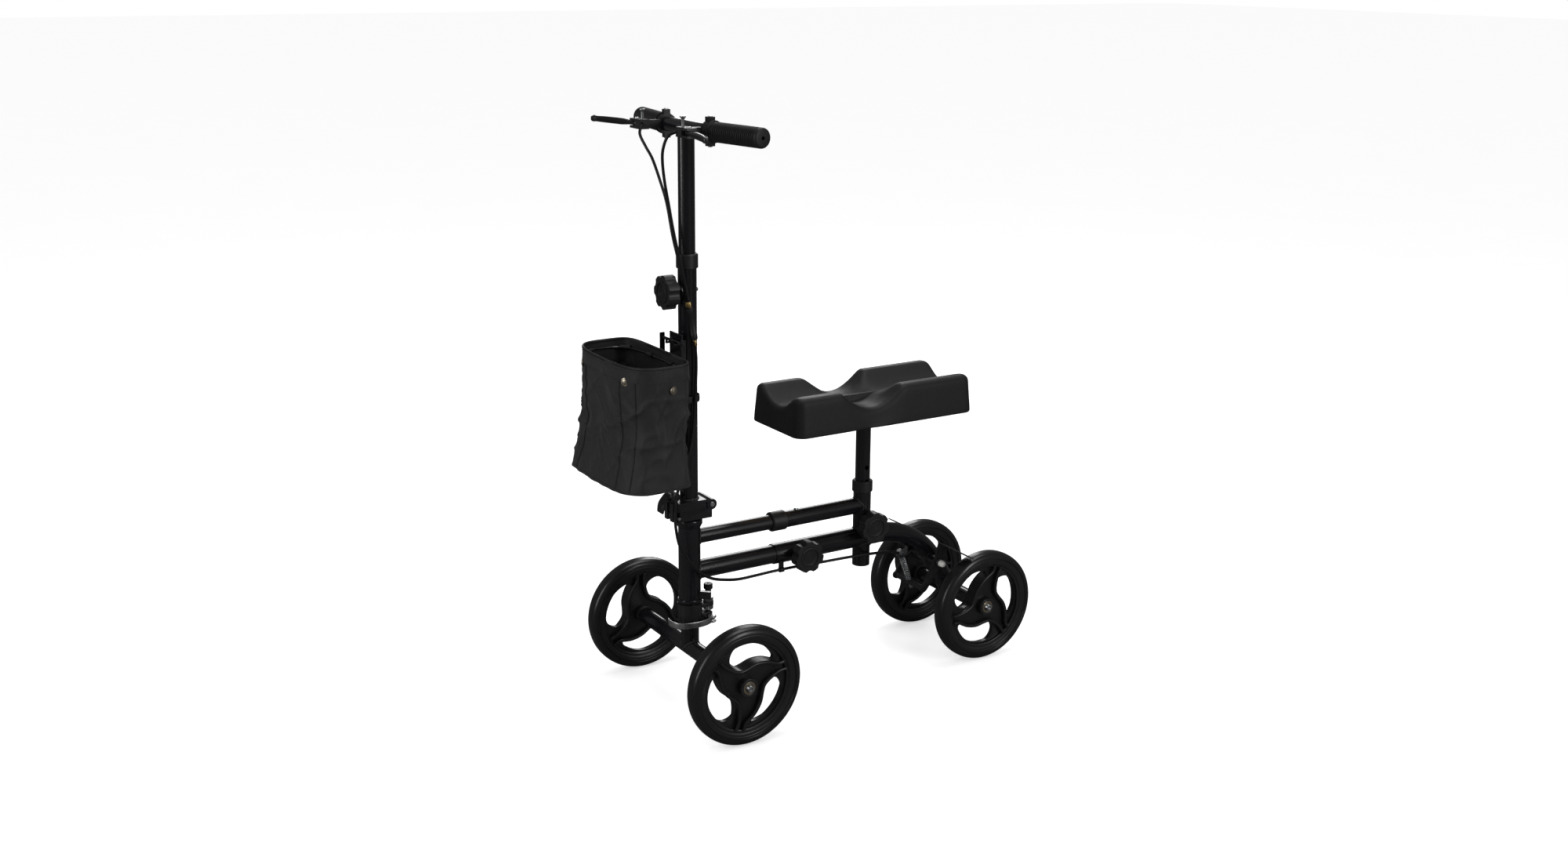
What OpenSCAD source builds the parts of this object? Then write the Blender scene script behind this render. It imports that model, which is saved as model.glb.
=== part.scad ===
// Folding knee scooter: a steerable front axle, a two-tube length-adjustable frame,
// a padded knee rest on a height post, a folding telescopic column with a T handlebar,
// two brake levers that pull one rear brake rocker, and a lift-off fabric basket.
// Millimetres. +Z up, the rider looks along -Y, the rider's left is +X.

/* [Wheels] */
// Radius of a wheel over its tyre
wheel_r = 100; // [90:1:112]
// Width of a tyre
tyre_w = 31; // [27:1:34]
// Radial thickness of a tyre
tyre_t = 16; // [12:1:18]
// Radius of the wheel's hub boss
hub_r = 15.5; // [14:0.5:18]
// Length of the hub along its axle
hub_w = 33; // [29:1:38]
// Outer radius of a wheel bearing
bearing_r = 11; // [10:0.5:12]
// Diameter of an axle bolt
axle_bolt_d = 8; // [6:1:10]
// Distance between the middle planes of the front wheels
front_track = 359; // [320:1:420]
// Distance between the middle planes of the rear wheels
rear_track = 198; // [186:1:260]
// Distance from the front axle to the rear axle
wheelbase = 541; // [500:1:600]

/* [Frame tubes] */
// Outer diameter of the upper frame's inner tube
upper_d = 25; // [22:0.5:28]
// Outer diameter of the lower frame's inner tube
lower_d = 31.6; // [28:0.2:36]
// Outer diameter of the seat post
post_d = 26; // [22:0.5:30]
// Outer diameter of the handlebar's inner tube
stem_d = 26.5; // [22:0.5:30]
// Wall of the upper frame's outer tube
upper_wall = 1.6; // [1.2:0.1:2.4]
// Wall of the lower frame's outer tube
lower_wall = 1.5; // [1.2:0.1:2.4]
// Wall of the seat tube
seat_wall = 2.2; // [1.2:0.1:3]
// Wall of the column's outer tube
column_wall = 1.55; // [1.2:0.05:2.4]
// Wall of every inner tube
inner_wall = 2; // [1.2:0.1:3]
// Radial gap between an inner tube and its outer tube
slide_gap = 0.2; // [0.1:0.05:0.4]
// Diameter of both axle beams
beam_d = 28; // [24:1:32]
// Height of the upper frame tube's axis
upper_z = 293; // [285:1:298]
// Height of the lower frame tube's axis
lower_z = 234.5; // [226:0.5:242]
// Where both outer frame tubes start, behind the steering axis
outer_start_y = 160; // [150:1:175]
// Where both inner frame tubes end, behind the steering axis
inner_end_y = 290; // [270:1:295]
// Radius of the lower tube's bend
bend_r = 150; // [140:1:160]
// Slope of the lower tube past its bend, in degrees
bend_angle = 58; // [54:1:62]

/* [Steering] */
// Outer diameter of the head tube
head_d = 36.6; // [35:0.2:42]
// Outer diameter of the steerer
steerer_d = 30; // [26:0.5:31]
// Height of the head tube's lower end
head_bottom_z = 188; // [184:1:192]
// Height of the head tube's upper end
head_top_z = 313; // [309:1:318]
// Height of a head bearing cup
cup_h = 15; // [10:1:18]
// Furthest that the steering turns to each side, in degrees
steer_limit = 35; // [25:1:40]

/* [Seat] */
// Distance from the steering axis to the seat tube
seat_y = 343.7; // [335:0.1:352]
// Height of the seat tube's lower end
seat_bottom_z = 183; // [176:1:190]
// Height of the seat tube's upper end
seat_top_z = 333; // [325:1:340]
// Length of the knee pad
pad_l = 362; // [320:1:400]
// Width of the knee pad
pad_w = 156; // [130:1:175]
// Thickness of the knee pad
pad_t = 66; // [50:1:70]
// Height of the knee pad's underside
pad_z = 454.6; // [440:1:470]
// Distance from the steering axis to the middle of the knee pad
pad_y = 342; // [335:1:350]

/* [Column and handlebar] */
// Height of the column's upper end
column_top_z = 760; // [740:1:765]
// Height of the handlebar's axis
bar_z = 961; // [930:1:990]
// Lower end of the handlebar's inner tube
stem_bottom_z = 600; // [585:1:640]
// Diameter of the handlebar
bar_d = 22; // [20:0.5:24]
// Half the straight middle of the handlebar
bar_half = 46; // [40:1:52]
// Sweep of each handlebar end, in degrees
bar_sweep = 9.2; // [0:0.2:14]
// Straight length of each swept handlebar end
bar_end_l = 139; // [135:1:160]
// Diameter of a grip
grip_d = 31; // [28:0.5:34]
// Length of a grip
grip_l = 116; // [100:1:125]

/* [Basket] */
// Half the basket's width
basket_half_w = 114; // [95:1:130]
// Front of the basket's floor, ahead of the steering axis
basket_front = 170; // [150:1:190]
// Back of the basket, ahead of the steering axis
basket_back = 46; // [45:1:50]
// Height of the basket's floor
basket_bottom_z = 420; // [400:1:440]
// Height of the basket's rim
basket_top_z = 616; // [612:1:619]
// Thickness of the basket's wall
basket_wall = 3; // [2:0.5:4]

/* [Knobs and controls] */
// Radius of a knob over its lobes
knob_r = 27.5; // [22:0.5:30]
// Height of a knob's lobed head
knob_h = 19; // [14:1:22]
// Diameter of a knob's clamp stud
stud_d = 10; // [8:1:12]
// Diameter of the upper brake cables and of the main cable
cable_d = 5; // [4:0.5:5]

/* [Hidden] */
$fn = 48;

// The origin stands on the ground under the middle of the bounding box.
origin_y = (wheelbase + wheel_r - basket_front) / 2;
eps = 0.01;
fit_gap = 0.05;     // running clearance of a shaft in its bearing
body_gap = 0.3;     // clearance between faces that move past each other
seam = 0.5;         // how far a straight tube runs into its bend
seam_step = 0.2;    // how much thinner the bend is there

upper_bore = upper_d + 2 * slide_gap;
upper_od = upper_bore + 2 * upper_wall;
lower_bore = lower_d + 2 * slide_gap;
lower_od = lower_bore + 2 * lower_wall;
post_bore = post_d + 2 * slide_gap;
seat_od = post_bore + 2 * seat_wall;
column_bore = stem_d + 2 * slide_gap;
column_od = column_bore + 2 * column_wall;

washer_t = 1.5;
front_beam_half = front_track / 2 - hub_w / 2 - washer_t;
rear_beam_half = rear_track / 2 - hub_w / 2 - washer_t;
bolt_grip = 22;     // length of an axle bolt inside its beam
rim_seat_r = wheel_r - tyre_t;
rim_w = tyre_w - 5;
bearing_t = 7;

// Lower rear tube: straight, one bend, then straight into the rear axle beam.
bend_drop = bend_r * (1 - cos(bend_angle));
bend_run = bend_r * sin(bend_angle);
bend_end_z = lower_z - bend_drop;
bend_end_y = wheelbase - (bend_end_z - wheel_r) / tan(bend_angle);
bend_start_y = bend_end_y - bend_run;
drop_l = (bend_end_z - wheel_r) / sin(bend_angle);

// Fold hinge between the steerer and the column.
hinge_y = 31;
hinge_z = head_top_z + cup_h + 24;
hinge_base_z = head_top_z + cup_h + 2;
hinge_split_z = hinge_z - 5.3;
hinge_top_z = hinge_z + 10;
hinge_half_w = 22;
knuckle_r = 9;
knuckle_half = 10;
hinge_pin_d = 8;
hinge_front = 38;
fold_bolt_y = -30;
fold_bolt_z = hinge_z - 15;
fold_bolt_d = 6;
fold_slot_w = 8.6;
cam_r = 8;
cam_z = hinge_top_z + cam_r + body_gap;

// Places of the knobs.
knob_boss_h = 7;
column_knob_z = 707;
frame_knob_y = 207;
seat_knob_z = 262;
stud_stop = 0.1;    // gap between a slack stud and the tube that it clamps
neck_h = 4;

// Brake: the rocker turns about a bolt through the bent tube.
brake_y = bend_start_y + 109;
brake_z = lower_z - 61.5;
boss_half = 38;
rocker_t = 4;
shoe_r = wheel_r + 4;
shoe_angle = 111;   // around the rear axle, from the rear
shoe_l = 26;
shoe_t = 2;
shoe_lean = -28.4;   // the plate bears on the tyre with its rear edge
shoe_inner = 38;
shoe_outer = rear_track / 2 + 15;
pull_y = brake_y - 31;
pull_z = brake_z - 45;
stop_y = brake_y - 51;
stop_z = brake_z + 8;

lever_z = bar_z + 1;
lever_pivot = [85, -41];
lever_tip = [185, -68];
lever_h = 7;
lock_pin_at = [66, -32];

// The brake cables' routes: x, then y from the steering axis, then z.
route_left = [[58, -46, 962], [54, -60, 955], [48, -65, 937], [43, -64, 917], [36, -57, 885],
    [31, -48, 850], [26, -36, 800], [24, -21, 742], [24, -11, 695], [24.5, -9, 684]];
route_right = [[-58, -46, 962], [-50, -54, 949], [-38, -50, 930], [-28, -44, 912],
    [-16, -37, 878], [-5, -32, 845], [6, -28, 795], [14, -20, 746], [18, -12, 695], [19, -10, 684]];
route_column = [[22, 0, 629], [22, 3, 600], [22, 2, 560], [22, -4, 480], [24, -18, 425],
    [25, -34, 385], [26, -38.9, 349.8]];
route_frame = [[26, -39, 349], [28, -40, 327], [30, -34, 294], [31, -17, 265], [29, 4, 240],
    [26, 29, 224], [23, 59, 215], [21, 84, 211], [18, 116, 210], [16, 150, 210], [16, 185, 210],
    [17, 207, 210], [20, 240, 210], [21, 300, 209], [21, 343, 207], [17, 375, 203],
    [8, 405, 196], [2, 424, 188]];

function smooth(a, b, c, d, t) = 0.5 * (2 * b + (c - a) * t + (2 * a - 5 * b + 4 * c - d) * t * t
    + (3 * b - a - 3 * c + d) * t * t * t);
// A smooth closed line through a few points.
function closed_line(p, n) = [for (i = [0:len(p) - 1], k = [0:n - 1])
    smooth(p[(i + len(p) - 1) % len(p)], p[i], p[(i + 1) % len(p)], p[(i + 2) % len(p)], k / n)];
// A smooth open line through a few points.
function open_line(p, n) = [for (i = [0:len(p) - 2], k = [0:n - 1])
    smooth(p[max(i - 1, 0)], p[i], p[i + 1], p[min(i + 2, len(p) - 1)], k / n), p[len(p) - 1]];
function unit(v) = v / norm(v);
function heading(p, i) = unit(p[min(i + 1, len(p) - 1)] - p[max(i - 1, 0)]);
function polar(r, a) = [r * cos(a), r * sin(a)];

module placed() {
    translate([0, -origin_y, 0]) children();
}
module both_sides() {
    children();
    mirror([1, 0, 0]) children();
}
// Turns local x, y, z into y, z, x.
module side_view() {
    rotate([90, 0, 90]) children();
}
module along_x(x0, x1, y, z, d) {
    translate([x0, y, z]) rotate([0, 90, 0]) cylinder(d=d, h=x1 - x0);
}
module along_y(y0, y1, z, d) {
    translate([0, y0, z]) rotate([-90, 0, 0]) cylinder(d=d, h=y1 - y0);
}
module along_z(z0, z1, d) {
    translate([0, 0, z0]) cylinder(d=d, h=z1 - z0);
}
// A round cable swept through the points of its route.
module cable(route, d, n) {
    p = open_line(route, n);
    sides = 8;
    rings = len(p);
    points = [for (i = [0:rings - 1]) let (
            t = heading(p, i),
            u = unit(cross(t, abs(t[0]) > 0.9 ? [0, 1, 0] : [1, 0, 0])),
            v = cross(t, u))
        for (k = [0:sides - 1]) p[i] + d / 2 * (cos(k * 360 / sides) * u + sin(k * 360 / sides) * v)];
    walls = [for (i = [0:rings - 2], k = [0:sides - 1]) let (
            a = i * sides + k, b = i * sides + (k + 1) % sides)
        each [[a, b + sides, b], [a, a + sides, b + sides]]];
    polyhedron(points, concat([[for (k = [0:sides - 1]) k]], walls,
        [[for (k = [sides - 1:-1:0]) (rings - 1) * sides + k]]));
}

// ---- Wheels ----------------------------------------------------------------
// One of the three openings of a wheel, between the hub and the rim.
opening_r = rim_seat_r - 13;
opening_points = [for (p = [[0.78, 120], [0.98, 106], [1, 83], [0.97, 62], [0.9, 41], [0.75, 36],
    [0.43, 57], [0.22, 100], [0.5, 124]])
    polar(hub_r + p[0] * (opening_r - hub_r), p[1])];
// The curved rib between two openings, from the rim past the hub to the rim.
rib_points = [for (p = [[1.08, 133], [0.82, 134], [0.5, 130], [0.28, 116], [0.26, 94], [0.42, 66],
    [0.62, 44], [0.84, 27], [1.08, 24]])
    polar(hub_r + p[0] * (opening_r - hub_r), p[1])];
rib_w = 5;
rib_h = 22;
web_t = 8;

module wheel_at(side, track, y, turn) {
    placed() translate([side * track / 2, y, wheel_r]) side_view() rotate([0, 0, turn]) children();
}
module tyre(side, track, y) {
    crown = [for (a = [0:15:180]) let (s = pow(sin(a), 0.8), c = cos(a))
        [rim_seat_r + 3 + (tyre_t - 3) * s, tyre_w / 2 * sign(c) * pow(abs(c), 0.7)]];
    color("#141416") wheel_at(side, track, y, 0) rotate_extrude($fn=96)
        polygon(concat([[rim_seat_r, rim_w / 2]], crown, [[rim_seat_r, -rim_w / 2]]));
}
module rim_rib() {
    p = open_line(rib_points, 5);
    normals = [for (i = [0:len(p) - 1]) let (t = heading(p, i)) [-t[1], t[0]]];
    translate([0, 0, -rib_h / 2]) linear_extrude(rib_h) polygon(concat(
        [for (i = [0:len(p) - 1]) p[i] + rib_w / 2 * normals[i]],
        [for (i = [len(p) - 1:-1:0]) p[i] - rib_w / 2 * normals[i]]));
}
module rim(side, track, y, turn) {
    half = rim_w / 2;
    color("#222225") wheel_at(side, track, y, turn) difference() {
        union() {
            rotate_extrude($fn=96) polygon([[rim_seat_r - 11, -half + 4], [rim_seat_r - 7, -half + 3],
                [rim_seat_r - 6, -half + 1], [rim_seat_r - 2, -half], [rim_seat_r, -half],
                [rim_seat_r, half], [rim_seat_r - 2, half], [rim_seat_r - 6, half - 1],
                [rim_seat_r - 7, half - 3], [rim_seat_r - 11, half - 4]]);
            difference() {
                cylinder(r=rim_seat_r - 5, h=web_t, center=true);
                for (a = [0:120:240]) rotate([0, 0, a]) linear_extrude(web_t * 2, center=true)
                    polygon(closed_line(opening_points, 5));
            }
            intersection() {
                for (a = [0:120:240]) rotate([0, 0, a]) rim_rib();
                cylinder(r=rim_seat_r - 5, h=rib_h + 2, center=true);
            }
            cylinder(r=hub_r, h=hub_w - 1, center=true);
        }
        cylinder(r=bearing_r + fit_gap, h=hub_w + 2, center=true);
    }
}
module wheel_bearings(track, y) {
    for (side = [-1, 1]) wheel_at(side, track, y, 0) {
        for (end = [-1, 1]) translate([0, 0, end * (hub_w - bearing_t) / 2]) difference() {
            cylinder(r=bearing_r, h=bearing_t, center=true);
            cylinder(d=axle_bolt_d + 2 * fit_gap, h=bearing_t + 2, center=true);
        }
        difference() {
            cylinder(d=axle_bolt_d + 5, h=hub_w - 2 * bearing_t, center=true);
            cylinder(d=axle_bolt_d + 2 * fit_gap, h=hub_w, center=true);
        }
    }
}
// Each bolt screws into its beam's end, with a washer on each side of the hub.
module axle_bolts(track, y) {
    for (side = [0, 1]) placed() mirror([side, 0, 0]) translate([track / 2, y, wheel_r]) rotate([0, 90, 0]) {
        translate([0, 0, -hub_w / 2 - washer_t - bolt_grip])
            cylinder(d=axle_bolt_d, h=bolt_grip + hub_w + 2 * washer_t);
        translate([0, 0, hub_w / 2 + washer_t - eps]) difference() {
            cylinder(r1=7, r2=5.5, h=4);
            translate([0, 0, 2]) cylinder(d=5.8, h=3, $fn=6);
        }
        for (z = [-hub_w / 2 - washer_t, hub_w / 2]) translate([0, 0, z])
            cylinder(d=axle_bolt_d + 4, h=washer_t);
    }
}
module axle_beam(half, y) {
    color("#161618") placed() difference() {
        along_x(-half, half, y, wheel_r, beam_d);
        along_x(-half + bolt_grip + 2, half - bolt_grip - 2, y, wheel_r, beam_d - 2 * inner_wall);
        both_sides() along_x(half - bolt_grip - 1, half + 1, y, wheel_r, axle_bolt_d + 2 * fit_gap);
    }
}
module tyre_rear_left() { tyre(1, rear_track, wheelbase); }
module tyre_rear_right() { tyre(-1, rear_track, wheelbase); }
module tyre_front_left() { tyre(1, front_track, 0); }
module tyre_front_right() { tyre(-1, front_track, 0); }
module rim_rear_left() { rim(1, rear_track, wheelbase, 52); }
module rim_rear_right() { rim(-1, rear_track, wheelbase, 100); }
module rim_front_left() { rim(1, front_track, 0, 0); }
module rim_front_right() { rim(-1, front_track, 0, 75); }
module rear_bearings() { color("#b9b2a4") wheel_bearings(rear_track, wheelbase); }
module front_bearings() { color("#b9b2a4") wheel_bearings(front_track, 0); }
module rear_axle_bolts() { color("#c9ccd0") axle_bolts(rear_track, wheelbase); }
module front_axle_bolts() { color("#c9ccd0") axle_bolts(front_track, 0); }
module rear_axle_beam() { axle_beam(rear_beam_half, wheelbase); }
module front_axle_beam() { axle_beam(front_beam_half, 0); }

// ---- Rear frame ------------------------------------------------------------
module rear_upper_tube() {
    color("#161618") placed() difference() {
        along_y(outer_start_y, seat_y, upper_z, upper_od);
        along_y(outer_start_y - 1, seat_y, upper_z, upper_bore);
        translate([0, seat_y, 0]) along_z(seat_bottom_z, seat_top_z, seat_od);
        translate([0, frame_knob_y, upper_z]) cylinder(d=5, h=upper_od);
    }
}
module bent_tube(d) {
    along_y(outer_start_y, bend_start_y + seam, lower_z, d);
    translate([0, bend_start_y, lower_z - bend_r]) side_view() rotate([0, 0, 90 - bend_angle])
        rotate_extrude(angle=bend_angle) translate([bend_r, 0]) circle(d=d - seam_step);
    translate([0, bend_end_y, bend_end_z]) rotate([-90 - bend_angle, 0, 0]) translate([0, 0, -seam])
        cylinder(d=d, h=drop_l + seam);
}
module cable_stop_plate() {
    translate([0, stop_y, stop_z]) rotate([-157, 0, 0]) difference() {
        translate([-9, -32, -4]) cube([18, 38, 4]);
        translate([0, 0, -5]) cylinder(d=7, h=6);
    }
}
module rear_lower_tube() {
    color("#161618") placed() difference() {
        union() {
            bent_tube(lower_od);
            along_x(-boss_half, boss_half, brake_y, brake_z, 16);
            along_x(0, lower_od / 2 + knob_boss_h, frame_knob_y, lower_z, stud_d + 12);
            translate([16, outer_start_y + 5, 210]) rotate([-90, 0, 0]) cylinder(d=cable_d + 4, h=8);
            translate([13, outer_start_y + 5, 212]) cube([4, 8, 14]);
            cable_stop_plate();
        }
        along_y(outer_start_y - 1, bend_start_y - 6, lower_z, lower_bore);
        translate([16, outer_start_y, 210]) rotate([-90, 0, 0]) cylinder(d=cable_d + 1, h=20);
        translate([0, seat_y, 0]) along_z(seat_bottom_z, seat_top_z, seat_od);
        along_x(-rear_beam_half, rear_beam_half, wheelbase, wheel_r, beam_d);
        along_x(-boss_half - 1, boss_half + 1, brake_y, brake_z, 8 + 2 * fit_gap);
        along_x(0, lower_od / 2 + knob_boss_h + 1, frame_knob_y, lower_z, stud_d + 2 * fit_gap);
    }
}
module seat_tube() {
    color("#161618") placed() translate([0, seat_y, 0]) difference() {
        union() {
            along_z(seat_bottom_z, seat_top_z, seat_od);
            along_x(0, seat_od / 2 + knob_boss_h, 0, seat_knob_z, stud_d + 12);
        }
        along_z(seat_bottom_z - 1, seat_top_z + 1, post_bore);
        along_x(0, seat_od / 2 + knob_boss_h + 1, 0, seat_knob_z, stud_d + 2 * fit_gap);
    }
}
// A plastic sleeve on a tube's end, which closes the gap around the inner tube.
module collar(od, inner_d, l) {
    difference() {
        union() {
            translate([0, 0, -l]) cylinder(d=od + 5, h=l + 4);
            translate([0, 0, 4]) cylinder(d1=od + 5, d2=od + 1, h=2);
        }
        translate([0, 0, -l - 1]) cylinder(d=od, h=l + 1);
        translate([0, 0, -1]) cylinder(d=inner_d + 2 * slide_gap, h=9);
    }
}
module frame_collars() {
    color("#1d1d1f") placed() {
        translate([0, outer_start_y, upper_z]) rotate([90, 0, 0]) collar(upper_od, upper_d, 22);
        translate([0, seat_y, seat_top_z]) collar(seat_od, post_d, 14);
    }
}
module guide_screw(reach) {
    translate([0, 0, -3.4]) cylinder(d=4, h=reach + 3.4);
    translate([0, 0, reach]) cylinder(d1=8, d2=6, h=3);
}
module upper_guide_screw() {
    color("#c9ccd0") placed() translate([0, frame_knob_y, upper_z + upper_od / 2 - upper_wall])
        guide_screw(upper_wall + 0.05);
}

// ---- Knobs -----------------------------------------------------------------
// Local z points out of the tube, from the tube's outer face.
module knob(wall, gap_to_inner) {
    face = knob_boss_h + body_gap;
    lobes = 7;
    scallop_r = 9;
    difference() {
        union() {
            translate([0, 0, face]) cylinder(r=13, h=neck_h);
            translate([0, 0, face + neck_h - eps]) difference() {
                cylinder(r=knob_r, h=knob_h);
                for (a = [0:360 / lobes:359]) rotate([0, 0, a])
                    translate([knob_r + 5.5, 0, -1]) cylinder(r=scallop_r, h=knob_h + 2);
                translate([0, 0, knob_h - 3]) cylinder(r1=15, r2=18, h=4);
            }
        }
    }
    translate([0, 0, -wall - gap_to_inner]) cylinder(d=stud_d, h=face + wall + gap_to_inner + 2);
}
module seat_knob() {
    color("#1b1b1e") placed() translate([seat_od / 2, seat_y, seat_knob_z]) rotate([0, 90, 0])
        knob(seat_wall, slide_gap - stud_stop);
}
module frame_knob() {
    color("#1b1b1e") placed() translate([lower_od / 2, frame_knob_y, lower_z]) rotate([0, 90, 0])
        knob(lower_wall, slide_gap - stud_stop);
}
module column_knob() {
    color("#1b1b1e") placed() translate([0, -column_od / 2, column_knob_z]) rotate([90, 0, 0])
        knob(column_wall, slide_gap - stud_stop);
}

// ---- Rear brake --------------------------------------------------------------
module brake_pivot_bolt() {
    reach = boss_half + rocker_t + 2;
    color("#c9ccd0") placed() {
        along_x(-reach, reach + 8, brake_y, brake_z, 8);
        along_x(-reach - 5, -reach, brake_y, brake_z, 14);
        translate([reach, brake_y, brake_z]) rotate([0, 90, 0]) cylinder(d=15, h=6.5, $fn=6);
        along_x(reach + 6.5, reach + 13, brake_y, brake_z, 10);
    }
}
module brake_rocker() {
    inner = boss_half + 1;
    arm = [inner, inner + rocker_t];
    shoe_y = wheelbase + shoe_r * cos(shoe_angle);
    shoe_z = wheel_r + shoe_r * sin(shoe_angle);
    color("#19191b") placed() difference() {
        union() {
            both_sides() {
                translate([arm[0], 0, 0]) side_view() linear_extrude(rocker_t) union() {
                    translate([brake_y, brake_z]) circle(r=11);
                    polygon([[brake_y - 10, brake_z], [pull_y - 6, pull_z], [pull_y + 6, pull_z - 5],
                        [brake_y + 10, brake_z - 3]]);
                    polygon([[brake_y - 9, brake_z + 3], [shoe_y - 20, shoe_z + 11],
                        [shoe_y, shoe_z + 1], [brake_y + 10, brake_z - 2]]);
                    translate([pull_y, pull_z]) circle(r=7);
                }
                translate([shoe_inner, shoe_y, shoe_z]) rotate([shoe_lean, 0, 0])
                    translate([0, 2 - shoe_l, 0]) cube([shoe_outer - shoe_inner, shoe_l, shoe_t]);
            }
            along_x(-inner - 1, inner + 1, pull_y, pull_z, 10);
        }
        along_x(-inner - 10, inner + 10, brake_y, brake_z, 8 + 2 * fit_gap);
        translate([0, pull_y, pull_z]) rotate([-157, 0, 0]) cylinder(d=3.5, h=30, center=true);
    }
}
module brake_adjuster() {
    color("#c9ccd0") placed() translate([0, stop_y, stop_z]) rotate([-157, 0, 0]) difference() {
        union() {
            translate([0, 0, -13]) cylinder(d=9, h=8);
            translate([0, 0, -5.1]) cylinder(d=10, h=1, $fn=6);
            translate([0, 0, -4.2]) cylinder(d=6.8, h=9);
        }
        translate([0, 0, -14]) cylinder(d=3, h=20);
    }
}
module brake_spring() {
    span = norm([pull_y - stop_y, pull_z - stop_z]) - 5.4;
    color("#c9ccd0") placed() translate([0, stop_y, stop_z]) rotate([-157, 0, 0]) difference() {
        translate([0, 0, 0.2]) cylinder(d=11, h=span);
        cylinder(d=7.6, h=span + 2);
    }
}
module cable_frame() {
    color("#101012") placed() {
        cable(route_frame, cable_d, 3);
        translate([0, pull_y, pull_z]) rotate([-157, 0, 0]) translate([0, 0, 5.2]) cylinder(d=6, h=8);
    }
}

// ---- Front frame and head ----------------------------------------------------
module front_upper_tube() {
    color("#161618") placed() difference() {
        along_y(0, inner_end_y, upper_z, upper_d);
        along_y(head_d / 2 + 8, inner_end_y + 1, upper_z, upper_d - 2 * inner_wall);
        along_z(head_bottom_z, head_top_z, head_d);
        // The guide screw's slot, along the whole travel.
        translate([-2.5, frame_knob_y - 45, upper_z + upper_d / 2 - inner_wall - 1]) cube([5, 110, 8]);
    }
}
module front_lower_tube() {
    color("#161618") placed() difference() {
        along_y(0, inner_end_y, lower_z, lower_d);
        along_y(head_d / 2 + 8, inner_end_y + 1, lower_z, lower_d - 2 * inner_wall);
        along_z(head_bottom_z, head_top_z, head_d);
    }
}
stop_screw_r = 35;
stop_screw_d = 10;
module head_tube() {
    stop_angle = steer_limit + asin((stop_screw_d / 2 + 0.4) / stop_screw_r);
    color("#161618") placed() difference() {
        union() {
            along_z(head_bottom_z, head_top_z, head_d);
            for (side = [-1, 1]) rotate([0, 0, 90 + side * stop_angle])
                translate([head_d / 2 - 1.2, side > 0 ? 0 : -6, head_bottom_z + 1])
                    cube([stop_screw_r + 3.2 - head_d / 2, 6, 13]);
        }
        along_z(head_bottom_z - 1, head_top_z + 1, head_d - 2 * inner_wall);
    }
}
module head_cups() {
    bore = steerer_d + 2 * fit_gap;
    color("#161618") placed() {
        difference() {
            union() {
                translate([0, 0, head_top_z]) cylinder(d1=head_d + 1, d2=head_d + 7, h=6);
                translate([0, 0, head_top_z + 6]) cylinder(d=head_d + 7, h=cup_h - 8);
                translate([0, 0, head_top_z + cup_h - 2]) cylinder(d1=head_d + 7, d2=head_d + 2, h=2);
            }
            along_z(head_top_z - 1, head_top_z + cup_h + 1, bore);
        }
        difference() {
            translate([0, 0, head_bottom_z - 6]) cylinder(d=head_d + 5, h=6);
            along_z(head_bottom_z - 8, head_bottom_z + 1, bore);
        }
    }
}

// ---- Steering ----------------------------------------------------------------
clamp_z = [153, 180];
lug_z = [142, 158.5];
clamp_bolt_y = 32;
clamp_bolt_z = 150;
module steerer() {
    color("#161618") placed() difference() {
        along_z(wheel_r, hinge_base_z, steerer_d);
        along_z(wheel_r, hinge_base_z - 8, steerer_d - 2 * inner_wall - 2);
        along_x(-front_beam_half, front_beam_half, 0, wheel_r, beam_d);
    }
}
module steering_clamp() {
    color("#19191b") placed() difference() {
        union() {
            along_z(clamp_z[0], clamp_z[1], steerer_d + 12);
            translate([-9, 14, lug_z[0]]) cube([18, 24, lug_z[1] - lug_z[0]]);
            translate([-9, 14, 168]) cube([18, 21, 7]);
            translate([0, stop_screw_r, 168]) cylinder(r=9, h=7);
        }
        along_z(lug_z[0] - 1, clamp_z[1] + 1, steerer_d);
        translate([-1.5, 10, lug_z[0] - 1]) cube([3, 40, lug_z[1] - lug_z[0] + 2]);
        along_x(-20, 20, clamp_bolt_y, clamp_bolt_z, 6.1);
        translate([0, stop_screw_r, 160]) cylinder(d=stop_screw_d + 0.1, h=20);
    }
}
lever_pivot_x = 18;
module clamp_bolt() {
    color("#c9ccd0") placed() difference() {
        union() {
            along_x(-16, lever_pivot_x + 4.2, clamp_bolt_y, clamp_bolt_z, 6);
            translate([-16, clamp_bolt_y, clamp_bolt_z]) rotate([0, 90, 0]) cylinder(d=11.5, h=6.8, $fn=6);
        }
        translate([lever_pivot_x, clamp_bolt_y, clamp_bolt_z]) cylinder(d=3.1, h=12, center=true);
    }
}
// A flat aluminium strip that wraps round the clamp and turns on the end of its bolt.
module clamp_lever() {
    r = 38;
    reach = 56;
    color("#c3c6ca") placed() translate([0, 0, clamp_bolt_z - 5.5]) difference() {
        union() {
            rotate([0, 0, -reach]) rotate_extrude(angle=2 * reach) translate([r - 2, 0.2]) square([4, 10.6]);
            translate([lever_pivot_x, clamp_bolt_y, 0]) cylinder(r=7.5, h=11);
        }
        translate([lever_pivot_x - 12, clamp_bolt_y - 3.4, 2.2]) cube([12, 12, 6.6]);
        translate([lever_pivot_x, clamp_bolt_y, 2.2]) cylinder(r=5.7, h=6.6);
        translate([lever_pivot_x, clamp_bolt_y, -1]) cylinder(d=3.1, h=13);
    }
    color("#c3c6ca") placed() translate([lever_pivot_x, clamp_bolt_y, clamp_bolt_z - 5.5]) cylinder(d=3, h=11);
}
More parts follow.
